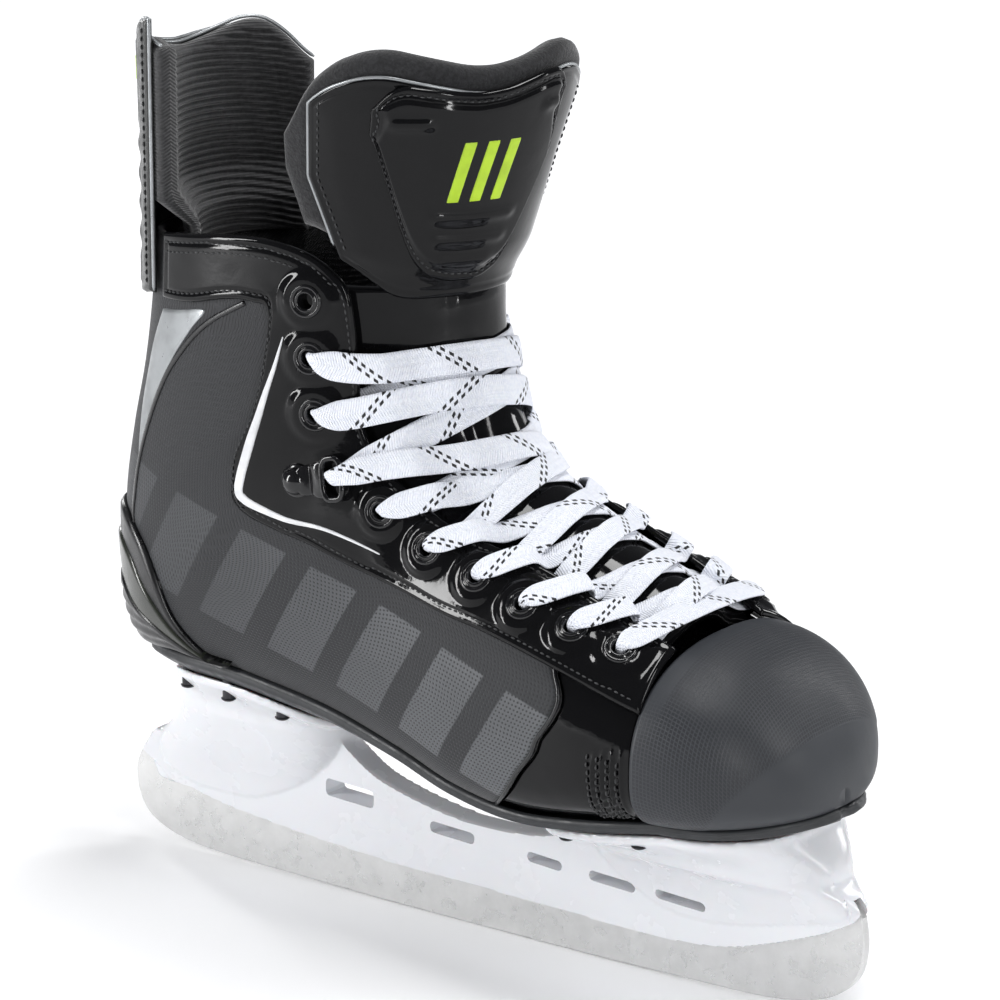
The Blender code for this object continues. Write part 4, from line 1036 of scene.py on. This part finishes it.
def curve(table, at, soft=.10):
    """A table's value at each place, its corners rounded over soft."""
    x, y = np.array(table, float).T
    return np.mean([np.interp(at + k * soft / 3, x, y) for k in range(-3, 4)], 0)


def tongue_rise(s, phi):
    edge = facing_phi(s, BESIDE_TONGUE)
    share = np.clip((phi - edge - .02) / (.98 - edge), 0.0, 1.0)
    return -3.0 + 6.0 * share * share * (3 - 2 * share)


def tongue_end(phi):
    low, high = 12.0, LAST - .05
    for _ in range(20):
        middle = (low + high) / 2
        under = boot(middle, phi, 1, tongue_rise(middle, phi))[2] < TONGUE_TOP_Z
        low, high = (middle, high) if under else (low, middle)
    return low


def tongue_section(z, v, off):
    grow = (z - 200) / 72
    turn = v * math.radians(92)
    return np.stack([-42 + 12 * grow + (41 + 12 * grow + off) * np.cos(turn),
                     (35 + 15 * grow + off) * np.sin(turn), z + 0 * turn], -1)


def tongue_turn(z, w):
    return np.interp(z, [205, 238], [-.12, -.31]) + TONGUE_HALF * w


def tongue_out(z, v):
    return unit(tongue_section(z, v, 1.0) - tongue_section(z, v, 0.0))


def tongue_row(z, v, off):
    return [*tongue_section(z, v, off), *tongue_out(z, v)]


def make_tongue_lower():
    q = np.linspace(-.4, .4, 90)
    ends = np.array([tongue_end(1 - abs(at)) for at in q])
    s = TONGUE_START + (ends - TONGUE_START) * np.linspace(0, 1, 200)[:, None]
    q = q + 0 * s
    rise = tongue_rise(s, 1 - abs(q))
    base = boot_q(s, q, rise)
    edge = edge_distance(base)
    down, over = arcs(base)
    middle = over - over[:, -1:] / 2
    seams = np.exp(-((abs(middle) - 14) / .5) ** 2)
    wrinkle = .35 * np.sin(down / 3.1 + 1.2 * np.sin(middle / 9)) * smooth(abs(middle), 26, 8)
    outer = rise + .35 * wrinkle - .4 * seams - (1.5 - rolled(edge, 1.5, 1.5))
    piece = skin("tongue_lower_leather", boot_q(s, q, outer), boot_q(s, q, rise - 4.8), "patent")
    on(piece, "boot", "patent_leather", "tongue_lower")


def tongue_grid(low, high, share, rows, cols, trim=(0.0, 0.0), floor=None):
    w = np.linspace(-share, share, cols)
    bottom, top = curve(low, w) + trim[0], curve(high, w) - trim[1]
    if floor is not None:
        bottom = np.minimum(bottom, floor)
    z = bottom + (top - bottom) * np.linspace(0, 1, rows)[:, None]
    return z, tongue_turn(z, w)


def make_tongue_upper():
    z, v = tongue_grid(TONGUE_LOW, TONGUE_HIGH, 1.0, 110, 130, trim=(.5, .5))
    base = tongue_section(z, v, -4.5)
    edge = edge_distance(base)
    round_off = np.sqrt(np.maximum(1 - np.clip(1 - edge / 5.5, 0, 1) ** 2, 0))
    lump = .35 * np.sin(z / 4.7 + 2 * np.sin(v * 5)) * np.sin(v * 9 + 1)
    outer = -4.5 + (4.4 + .5 * smooth(edge, 14, 4)) * round_off
    inner = -4.5 - (4.4 + lump) * round_off
    piece = skin("tongue_felt_pad", tongue_section(z, v, outer), tongue_section(z, v, inner), "felt")
    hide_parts("tongue_upper")
    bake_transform(piece)
    z, v = tongue_grid(TONGUE_LOW, TONGUE_HIGH, .8, 100, 110, trim=(-4.5, 8))
    base = tongue_section(z, v, 1.0)
    edge = edge_distance(base)
    outer = rolled(edge, 1.9, 1.1) - .4 * np.exp(-((edge - 2.6) / .5) ** 2) + .5 * smooth(edge, 3.5, 12)
    outer = np.maximum(outer - 1.3 * smooth(z, 216, 205), .35)
    piece = skin("tongue_facing_leather", tongue_section(z, v, outer), tongue_section(z, v, .2), "patent")
    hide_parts("tongue_facing")
    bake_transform(piece)
    border = [(i, 0) for i in range(8, 100)] + [(99, j) for j in range(1, 110)] + [(i, 109) for i in range(98, 8, -1)]
    rows = [tongue_row(z[i, j], v[i, j], 1.2) for i, j in border]
    on(piping("tongue_facing_piping", rows, .5, "silver"), "tongue_top", "patent_leather")
    inset = [tongue_row(z[i, j], v[i, j], outer[i, j] + .1)
             for i, j in [(i, 4) for i in range(10, 96)] + [(i, 105) for i in range(94, 10, -1)]]
    half = len(inset) // 2
    sew("tongue_facing_stitching", [inset[:half], inset[half:]], "tongue_top", "patent_leather", 2.3, 1.5, .32)


def shield_height(z, v, edge):
    """The shield's relief: a sewn border, a raised field, and moulded ridges over and under the emblem."""
    off = 1.6 + rolled(edge, 2.2, 1.6)
    off = off - .5 * np.exp(-((edge - 2.6) / .5) ** 2) + 1.0 * smooth(edge, 3.4, 6.2)
    for level, half, reach in ((226.5, .21, 1.6), (219.5, .19, 1.5), (213, .15, 1.3)):
        across = smooth(abs(v + .27), half, half - .06)
        off = off + reach * .55 * across * np.exp(-((z - level - 14 * (v + .27) ** 2) / 1.8) ** 2)
    for level, middle, half in ((256, -.56, .10), (259.5, -.02, .07)):
        across = smooth(abs(v - middle), half, half - .05)
        off = off + 1.1 * across * np.exp(-((z - level) / 2.0) ** 2)
    return off


SHIELD_SEAM = 2.6
EMBLEM = [[(251, left + .035), (251, left + .085), (231, left + .05), (231, left)] for left in (-.40, -.31, -.22)]


def make_shield():
    v = np.linspace(SHIELD_LOW[0][0] + .004, SHIELD_LOW[-1][0] - .004, 120)
    low, high = curve(SHIELD_LOW, v, .03), curve(SHIELD_HIGH, v, .03)
    z = low + (high - low) * np.linspace(0, 1, 110)[:, None]
    v = v + 0 * z
    base = tongue_section(z, v, 3.0)
    edge = edge_distance(base)
    height = shield_height(z, v, edge)
    piece = skin("tongue_shield_leather", tongue_section(z, v, height), tongue_section(z, v, 1.9), "patent")
    on(piece, "tongue_top", "patent_leather", "tongue_shield")
    down, over = arcs(base)
    picks = [(i, int(np.argmin(abs(over[i] - SHIELD_SEAM)))) for i in range(6, 104)]
    picks += [(int(np.argmin(abs(down[-1, j] - down[:, j] - SHIELD_SEAM))), j) for j in range(6, 114)]
    picks += [(i, int(np.argmin(abs(over[i, -1] - over[i] - SHIELD_SEAM)))) for i in range(103, 5, -1)]
    picks += [(int(np.argmin(abs(down[:, j] - SHIELD_SEAM))), j) for j in range(113, 5, -1)]
    lines = [[tongue_row(z[i, j], v[i, j], height[i, j] + .1) for i, j in picks]]
    sew("tongue_shield_stitching", lines, "tongue_top", "patent_leather", 2.1, 1.3, .3)
    parts = []
    for shape in EMBLEM:
        (z0, v0), (z1, v1), (z2, v2), (z3, v3) = shape
        a, b = np.meshgrid(np.linspace(0, 1, 14), np.linspace(0, 1, 14), indexing="ij")
        za = (z0 * (1 - b) + z1 * b) * (1 - a) + (z3 * (1 - b) + z2 * b) * a
        va = (v0 * (1 - b) + v1 * b) * (1 - a) + (v3 * (1 - b) + v2 * b) * a
        top = tongue_section(za, va, 0)
        lift = 4.55 + rolled(edge_distance(top), .45, .4)
        parts.append(shell(tongue_section(za, va, lift), tongue_section(za, va, 3.9)))
    on(make("tongue_emblem", *merged(parts), "lime"), "tongue_top", "patent_leather")


# ---------------------------------------------------------------- tendon guard
GUARD_REACH = .30
GUARD_TOP = [(0, 263), (.35, 266), (.7, 272), (.9, 277), (1, 276)]
GUARD_TOP_INNER = [(0, 263), (.35, 265), (.6, 266), (.85, 260), (1, 250)]
GUARD_LOW = [(0, 189), (.6, 189), (1, 193)]
LINER_HIGH = [(0, 262), (.35, 265), (.7, 270), (1, 268)]
LINER_HIGH_INNER = [(0, 262), (.3, 265), (.55, 269), (.75, 266), (1, 253)]


def collar_section(z, phi, off):
    s = LAST - .3
    point = on_boot(s, phi) + np.asarray(off)[..., None] * boot_normal(s, phi)
    lean = np.interp(z, [188, 211, 235, 275], [-2.0, 0, 0, -2.5])
    return np.stack([point[..., 0] + lean * (1 - phi / GUARD_REACH), np.where(phi > 0, point[..., 1], 0.0),
                     z + 0 * phi], -1)


def wrap_section(z, v, reach, off):
    """A collar piece's point: v goes round the back from the outer side's edge, -1, to the inner side's, 1."""
    return mirrored(collar_section(z, abs(v) * reach, off + 0 * z), v)


def wrap_out(z, v, reach, off):
    return unit(wrap_section(z, v, reach, off) - wrap_section(z, v, reach, off - 1))


def make_guard():
    v = np.linspace(-1, 1, 120)
    low = curve(GUARD_LOW, abs(v), .12)
    high = np.where(v > 0, curve(GUARD_TOP_INNER, abs(v), .12), curve(GUARD_TOP, abs(v), .12))
    z = low + (high - low) * np.linspace(0, 1, 100)[:, None]
    v = v + 0 * z
    base = wrap_section(z, v, GUARD_REACH, 4.0)
    edge = edge_distance(base)
    panel = smooth(abs(v), .72, .66)
    rib = .35 * np.cos((z - 200) * 2 * math.pi / 9.0) * panel * smooth(z, 198, 206) * smooth(z, 246, 238)
    outer = 2.6 + rolled(edge, 2.0, 1.4) + .35 * panel * smooth(edge, 2, 4) + rib - .3 * np.exp(
        -((edge - 3.0) / .5) ** 2)
    piece = skin("tendon_guard_shell", wrap_section(z, v, GUARD_REACH, outer),
                 wrap_section(z, v, GUARD_REACH, 2.5 + 0 * outer), "guard")
    on(piece, "guard", "guard_plastic", "tendon_guard")
    rim = [(i, 0) for i in range(0, 100)] + [(99, j) for j in range(1, 120)] + [(i, 119) for i in range(98, -1, -1)]
    rows = [[*wrap_section(z[i, j], v[i, j], GUARD_REACH, 3.4), *wrap_out(z[i, j], v[i, j], GUARD_REACH, 3.4)]
            for i, j in rim]
    on(piping("tendon_guard_piping", rows, .6, "silver"), "guard", "guard_plastic")
    lines = [[[*wrap_section(z[i, j], v[i, j], GUARD_REACH, outer[i, j] + .1),
               *wrap_out(z[i, j], v[i, j], GUARD_REACH, 4)] for i in range(3, 97)] for j in (5, 114)]
    sew("tendon_guard_stitching", lines, "guard", "guard_plastic", 2.4, 1.6, .34)
    v = np.linspace(-.62, .62, 60) + 0 * np.zeros((16, 1))
    z = 253.5 + (np.linspace(0, 1, 16) * 8)[:, None] + 2.2 * abs(v)
    base = wrap_section(z, v, GUARD_REACH, 4.6)
    piece = skin("tendon_guard_tab", wrap_section(z, v, GUARD_REACH, 4.75 + rolled(edge_distance(base), .5, .5)),
                 wrap_section(z, v, GUARD_REACH, 4.3 + 0 * z), "lime")
    on(piece, "guard", "guard_plastic")
    make_guard_lining()


def make_guard_lining():
    """The knitted pad inside the guard, its lower end tucked into the ankle lining, ribbed all round."""
    reach = GUARD_REACH + .035
    v = np.linspace(-1, 1, 110)
    high = np.where(v > 0, curve(LINER_HIGH_INNER, abs(v), .12), curve(LINER_HIGH, abs(v), .12))
    z = 203 + (high - 203) * np.linspace(0, 1, 190)[:, None]
    v = v + 0 * z
    outer_at = np.interp(z, [203, 213, 221], [-9.4, -7.5, 2.1])
    inner_at = np.interp(z, [203, 214, 224], [-12.0, -11.0, -4.2])
    base = wrap_section(z, v, reach, (outer_at + inner_at) / 2)
    edge = edge_distance(base)
    round_off = np.sqrt(np.maximum(1 - np.clip(1 - edge / 3.2, 0, 1) ** 2, 0))
    middle, half = (outer_at + inner_at) / 2, (outer_at - inner_at) / 2
    rib = .42 * np.cos((z + 4 * v * v) * 2 * math.pi / 2.1) * smooth(edge, .5, 3)
    piece = skin("guard_lining_pad", wrap_section(z, v, reach, middle + half * round_off),
                 wrap_section(z, v, reach, middle - (half + .9 * smooth(edge, 2, 12)) * round_off - rib), "knit")
    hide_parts("guard_liner")
    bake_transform(piece)
    rows = [[*(wrap_section(z[-1, j], v[-1, j], reach, 1.2) + np.array((0, 0, .4))),
             *wrap_out(z[-1, j], v[-1, j], reach, 2)] for j in range(110)]
    on(piping("guard_lining_piping", rows, .6, "silver"), "guard", "liner_knit")


# ---------------------------------------------------------------- lace
LACE_WIDTH, LACE_THICK = 9.2, 1.15
UNDER, RIM, LACE_STEP = -1.5, 5.3, 1.7
HOOK_STOP = 2
# How far towards the toe a strand swings over the instep, by the s half way between its ends.
SWING = [(5.6, .3), (5.9, .33), (6.6, .47), (7.4, .57), (8.4, .92), (9.7, 1.26), (11, 1.83), (12.8, 1.9), (14.7, 2.4)]


class Strand:
    """The lace's centre line: points on the boot, their widths and the way the flat side faces there."""

    def __init__(self, face=1):
        self.points, self.face = [], face

    def put(self, s, q, height, width, outward=1.0, away=0.0):
        out = np.array(boot_direction(s, min(1 - abs(q), .996), MEDIAL if q > 0 else LATERAL))
        beside = unit(np.array(boot_q(s, q + (.01 if q > 0 else -.01), height)) - np.array(boot_q(s, q, height)))
        self.points.append((boot_q(s, q, height), unit(out * outward + beside * away) * self.face, width))


def over_tongue(strand, start, end, side, upper, start_lie, end_rim):
    """One strand from under the facing at start, on side, over the tongue and onto the other facing at end."""
    (sa, pa), (sb, pb) = start, end
    middle = (sa + sb) / 2
    swing = float(np.interp(middle, *zip(*SWING)))

    def at(x):
        reach = (1 - pa) + (pa - pb) * (x + 1) / 2
        return sa + (sb - sa) * (x + 1) / 2 - swing * (1 - x * x), -side * x * reach

    def put(x, height, width):
        s, q = at(x)
        strand.put(s, q, height, width)

    def rise(x):
        s, q = at(x)
        return float(tongue_rise(s, 1 - abs(q)))

    near = (1 - float(facing_phi(sa, BESIDE_TONGUE))) / (1 - pa)
    far = (1 - float(facing_phi(sb, BESIDE_TONGUE))) / (1 - pb)
    put(-.95, start_lie, 6.5)
    put(-(near + .05), start_lie, LACE_WIDTH)
    put(-(near - .08), max(start_lie - .2, rise(-(near - .08)) + 1.3), LACE_WIDTH)
    for x in (-.5, -.32, -.16, 0, .16, .32, .5):
        put(x, rise(x) + 1.5 + (LACE_STEP if upper else 0), LACE_WIDTH)
    put(far - .12, max(4.0, rise(far - .12) + 1.5), LACE_WIDTH)
    put(far + .02, 4.4, LACE_WIDTH)
    put(.90, end_rim - .4, LACE_WIDTH)
    put(.955, end_rim, 6.4)


def through(strand, s, q, hook):
    heights = (6.9, 5.2, 3.6) if hook else (4.4, 1.7, -.9)
    for height, outward in zip(heights, (.6, 0, -.6)):
        strand.put(s, q, height, 5.2 if hook else 3.6, outward, 1)
    strand.face = -strand.face


def lace_half(stops, side):
    """From the lowest eyelet on one side up the zigzag: into each eyelet from outside, across from under it."""
    strand = Strand()
    for k in reversed(range(len(stops))):
        s, phi = stops[k]
        through(strand, s, side * (1 - phi), k == HOOK_STOP)
        if k:
            upper = (side == LATERAL) == (k - 1 > HOOK_STOP)
            over_tongue(strand, stops[k], stops[k - 1], side, upper, 3.1 if k == HOOK_STOP else UNDER,
                        7.3 if k - 1 == HOOK_STOP else RIM)
            side = -side
    s, phi = stops[0]
    for ds, height, width in ((.35, UNDER, 6), (.8, UNDER, 7), (1.3, UNDER, 7), (1.8, UNDER, 7)):
        strand.put(s + ds, side * (1 - phi - .004), height, width)
    return strand.points


def lace_line():
    """The lace from one tucked end, down one zigzag, over the lowest eyelets as a bar, and up the other."""
    stops = [tuple(side_point(*p)) for p in EYELETS[1:]]
    stops.insert(HOOK_STOP, tuple(side_point(*HOOK_RING)))
    s, phi = stops[-1]
    bar = Strand()
    far = (1 - float(facing_phi(s, BESIDE_TONGUE))) / (1 - phi)
    for x in (-.955, -.90, -far, -.5, -.32, -.16, 0, .16, .32, .5, far, .90, .955):
        at = s - .22 * (1 - x * x)
        high = float(tongue_rise(at, 1 - abs(x) * (1 - phi))) + 1.6
        height = max(4.4, high) if abs(x) < .9 else (RIM - .4 if abs(x) < .95 else RIM)
        bar.put(at, x * (1 - phi), height, 6.2 if abs(x) > .95 else LACE_WIDTH)
    return lace_half(stops, LATERAL)[::-1] + bar.points + lace_half(stops, MEDIAL)


def make_lace():
    line = lace_line()
    table = np.array([[*place, *face, width] for place, face, width in line])
    table = evenly(table, .7)
    for _ in range(10):
        table[1:-1] = (table[:-2] + 2 * table[1:-1] + table[2:]) / 4
    wide = np.interp(table[:, 2], [110, 135, 150, 165], [.83, .85, .9, 1])
    width = np.clip(table[:, 6] * wide, 3.0, LACE_WIDTH)
    thick = LACE_THICK * (LACE_WIDTH / width) ** .55
    across, over = oval(18, .62, .8)
    shapes = np.stack([across * width[:, None] / 2, over * thick[:, None] / 2 - .12 * (across ** 2) * thick[:, None]],
                      -1)
    points, faces = sweep(table[:, :3], table[:, 3:6], shapes)
    run = np.concatenate([[0], np.cumsum(np.linalg.norm(np.diff(table[:, :3], axis=0), axis=1))])
    cloth = np.stack(np.broadcast_arrays(run[:, None], across, np.sign(over)), -1)
    on(make("lace_braid", points, faces, "lace", cloth.reshape(-1, 3)), "boot", "lace_fabric", "lace")


# ---------------------------------------------------------------- holder and runner
BLADE_OUTLINE = [(-139, 31), (-142, 24), (-141, 15), (-136, 8), (-124, 3.2), (-105, 1.2), (-70, .5), (-35, 0),
                 (35, 0), (70, .5), (100, 1.2), (116, 3.5), (127, 8), (133.5, 15), (135.5, 24), (134.5, 33)]
RAIL_LOWER = [(-137.5, 31), (-114, 21.5), (-81, 17), (-33, 14), (6, 13.5), (61, 12.5), (85, 14), (101, 18),
              (121, 25.5), (132.5, 31.5)]
BRIDGE_UPPER = [(131, 39.5), (120, 36.6), (52, 36.6), (44, 41), (38, 44), (33, 41.5), (24, 36), (0, 34), (-20, 36),
                (-40, 41), (-52, 48), (-58, 53), (-64, 47), (-72, 36.6), (-120, 36.6), (-131, 40)]
WINDOWS = [(-61, -42, 30.5, 37), (-20, -3, 27, 31.5), (17, 30, 25.5, 29.5), (40, 57, 24.5, 28.5),
           (65, 83, 24.5, 28.5)]
REAR_TOWER = [(22, -133, -74, 4.8), (30, -135.5, -68, 6.2), (38, -131, -62, 9), (45, -124, -57, 12),
              (54, -119, -53, 16), (61, -115, -49, 26)]
FRONT_TOWER = [(20, 50, 104, 4.8), (27, 46, 121, 6), (33, 43, 134, 8.5), (38, 40, 132, 12),
               (42, 36, 127, 18), (46, 30, 119, 32)]
FLANGE_THICK, FLANGE_GAP, RAIL_HALF, SLOT_HALF, BLADE_HALF = 2.6, .6, 4.6, 1.9, 1.6
VOXEL, BLADE_SUNK = .75, 6.5


def ring_points(height, rear, front, half, sides=56):
    x, y = oval(sides, .7, .7)
    return np.stack([(rear + front) / 2 + (front - rear) / 2 * x, half * y, np.full(sides, float(height))], -1)


def tower_parts(sections):
    """A tower from the rail up to its flange, which follows the rounded sole."""
    rows = spline(sections[:-1], 22)
    rings = [ring_points(*row) for row in rows]
    rim = ring_points(*sections[-1])
    rim[:, 2] = [underside(x, y, SOLE_OFF[1] + FLANGE_GAP) for x, y, _ in rim]
    under = rim - (0, 0, FLANGE_THICK)
    start = rings[-1]
    for t in np.linspace(0, 1, 9)[1:]:
        reach = t * t * (3 - 2 * t)
        ring = start + (under - start) * (reach * .55 + .45 * t ** 2.2)
        ring[:, 2] = (start + (under - start) * t ** .8)[:, 2]
        rings.append(ring)
    rings.append(rim)
    for share in (.8, .5, .2):
        ring = rim.mean(0) + (rim - rim.mean(0)) * share
        ring[:, 2] = [underside(x, y, SOLE_OFF[1] + FLANGE_GAP) for x, y, _ in ring]
        rings.append(ring)
    grid = np.array(rings)
    count = grid.shape[1]
    faces = grid_faces(*grid.shape[:2], wrap=True)
    faces += [list(range(count))[::-1], list(range((len(grid) - 1) * count, len(grid) * count))]
    return grid.reshape(-1, 3), faces


def prism(outline, low, high):
    """An outline in (x, z) made solid from y low to y high."""
    outline = np.array(outline, float)
    count = len(outline)
    points = np.concatenate([np.stack([outline[:, 0], np.full(count, y), outline[:, 1]], -1) for y in (low, high)])
    faces = [list(range(count)), list(range(count, 2 * count))[::-1]]
    faces += [(k, k + count, (k + 1) % count + count, (k + 1) % count) for k in range(count)]
    return points, faces


def apply_all(piece):
    bpy.context.view_layer.update()
    done = bpy.data.meshes.new_from_object(piece.evaluated_get(bpy.context.evaluated_depsgraph_get()))
    piece.modifiers.clear()
    piece.data = done


def cut(piece, parts, solver="EXACT"):
    tool = make("tool", *parts, piece.data.materials[0])
    modifier = piece.modifiers.new("cut", "BOOLEAN")
    modifier.operation, modifier.solver, modifier.object = "DIFFERENCE", solver, tool
    apply_all(piece)
    bpy.data.objects.remove(tool)


def rounded_window(x0, x1, z0, z1):
    corners = [(x0, z0 + .8), (x1, z0), (x1, z1 - .8), (x0, z1)]
    path = []
    for k, corner in enumerate(corners):
        before, after = np.array(corners[k - 1]), np.array(corners[(k + 1) % 4])
        corner = np.array(corner)
        a, b = unit(before - corner) * 1.4, unit(after - corner) * 1.4
        path += [corner + a, corner + (a + b) * .3, corner + b]
    return path


def make_holder():
    """The moulded blade holder: rail, bridge and two towers fused into one smooth casting."""
    lower = spline(RAIL_LOWER, 90)
    upper = spline(BRIDGE_UPPER, 120)
    body = merged([prism([*lower, *upper], -RAIL_HALF, RAIL_HALF), tower_parts(REAR_TOWER),
                   tower_parts(FRONT_TOWER)])
    piece = make("holder_casting", *body, "white")
    modifier = piece.modifiers.new("fuse", "REMESH")
    modifier.mode, modifier.voxel_size, modifier.adaptivity = "VOXEL", VOXEL * MM, 0.0
    modifier = piece.modifiers.new("soften", "SMOOTH")
    modifier.factor, modifier.iterations = .5, 12
    apply_all(piece)
    for vertex in piece.data.vertices:
        if abs(abs(vertex.co.y) - RAIL_HALF * MM) < .45 * MM:
            vertex.co.y = math.copysign(RAIL_HALF * MM, vertex.co.y)
    for window in WINDOWS:
        cut(piece, prism(rounded_window(*window), -20, 20), "MANIFOLD")
    slot = [(x, z - 8) for x, z in lower]
    slot[0], slot[-1] = (-150, 20), (150, 20)
    slot += [(150, 39), *[(x, z + 7) for x, z in lower[::-1][1:-1]], (-150, 38)]
    cut(piece, prism(slot, -SLOT_HALF, SLOT_HALF), "MANIFOLD")
    piece.data.shade_smooth()
    piece.data.set_sharp_from_angle(angle=math.radians(40))
    on(piece, "boot", "white_plastic", "holder")


def make_blade():
    upper = [(x, z + BLADE_SUNK) for x, z in spline(RAIL_LOWER, 60)[::-1][1:-1]]
    outline = np.concatenate([spline(BLADE_OUTLINE, 200), upper])
    middle = np.gradient(outline, axis=0)
    inward = unit(np.stack([-middle[:, 1], middle[:, 0]], -1))
    rings = []
    for y, inset in ((-BLADE_HALF + .35, 0), (-BLADE_HALF, .45), (BLADE_HALF, .45), (BLADE_HALF - .35, 0)):
        ring = outline + inward * inset
        rings.append(np.stack([ring[:, 0], np.full(len(ring), y), ring[:, 1]], -1))
    rings.append(np.stack([outline[:, 0], np.zeros(len(outline)), outline[:, 1]], -1) + np.pad(
        inward * .12, ((0, 0), (0, 1)))[:, [0, 2, 1]])
    grid = np.array(rings)
    count = len(outline)
    at = np.arange(5 * count).reshape(5, count)
    faces = []
    for a, b in ((4, 0), (0, 1), (2, 3), (3, 4)):
        nxt_a, nxt_b = np.roll(at[a], -1), np.roll(at[b], -1)
        faces += np.stack([at[a], nxt_a, nxt_b, at[b]], -1).tolist()
    faces += [at[1].tolist()[::-1], at[2].tolist()]
    piece = make("runner_blade", grid.reshape(-1, 3), faces, "steel", sharp=25)
    on(piece, "boot", "runner_steel", "blade")


def make_rivets():
    parts = []
    for k in range(12):
        low, high = (np.array(c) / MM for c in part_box(f"rivet_{k + 1:02d}"))
        x, y = (low[0] + high[0]) / 2, (low[1] + high[1]) / 2
        z = low[2]
        profile = [(0, z + .5), (.9, z + .55), (1.7, z + .85), (2.2, z + 1.2), (2.4, z + 1.6), (1.9, z + 1.7),
                   (1.9, high[2]), (0, high[2])]
        parts.append(lathe_solid(profile, (x, y, 0), (0, 0, 1), 24))
    on(make("sole_rivets", *merged(parts), "rivet", sharp=50), "boot", "rivet_steel",
       *[f"rivet_{k + 1:02d}" for k in range(12)])


# ---------------------------------------------------------------- scene
def dress_nodes():
    """The CAD nodes that stay as they are get finished materials."""
    kept = {"blade_nut_front": "stud", "blade_nut_rear": "stud", "blade_stud_front": "stud",
            "blade_stud_rear": "stud", "insole_board": "board"}
    for node, look in kept.items():
        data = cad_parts[node].data
        data.materials.clear()
        data.materials.append(look_of(look))


make_camera()
make_studio()
make_quarters()
make_facings()
make_eyelets()
make_hooks()
make_trim()
make_toe_cap()
make_sole()
make_heel()
make_collar_lining()
make_tongue_lower()
make_tongue_upper()
make_shield()
make_guard()
make_lace()
make_holder()
make_blade()
make_rivets()
dress_nodes()
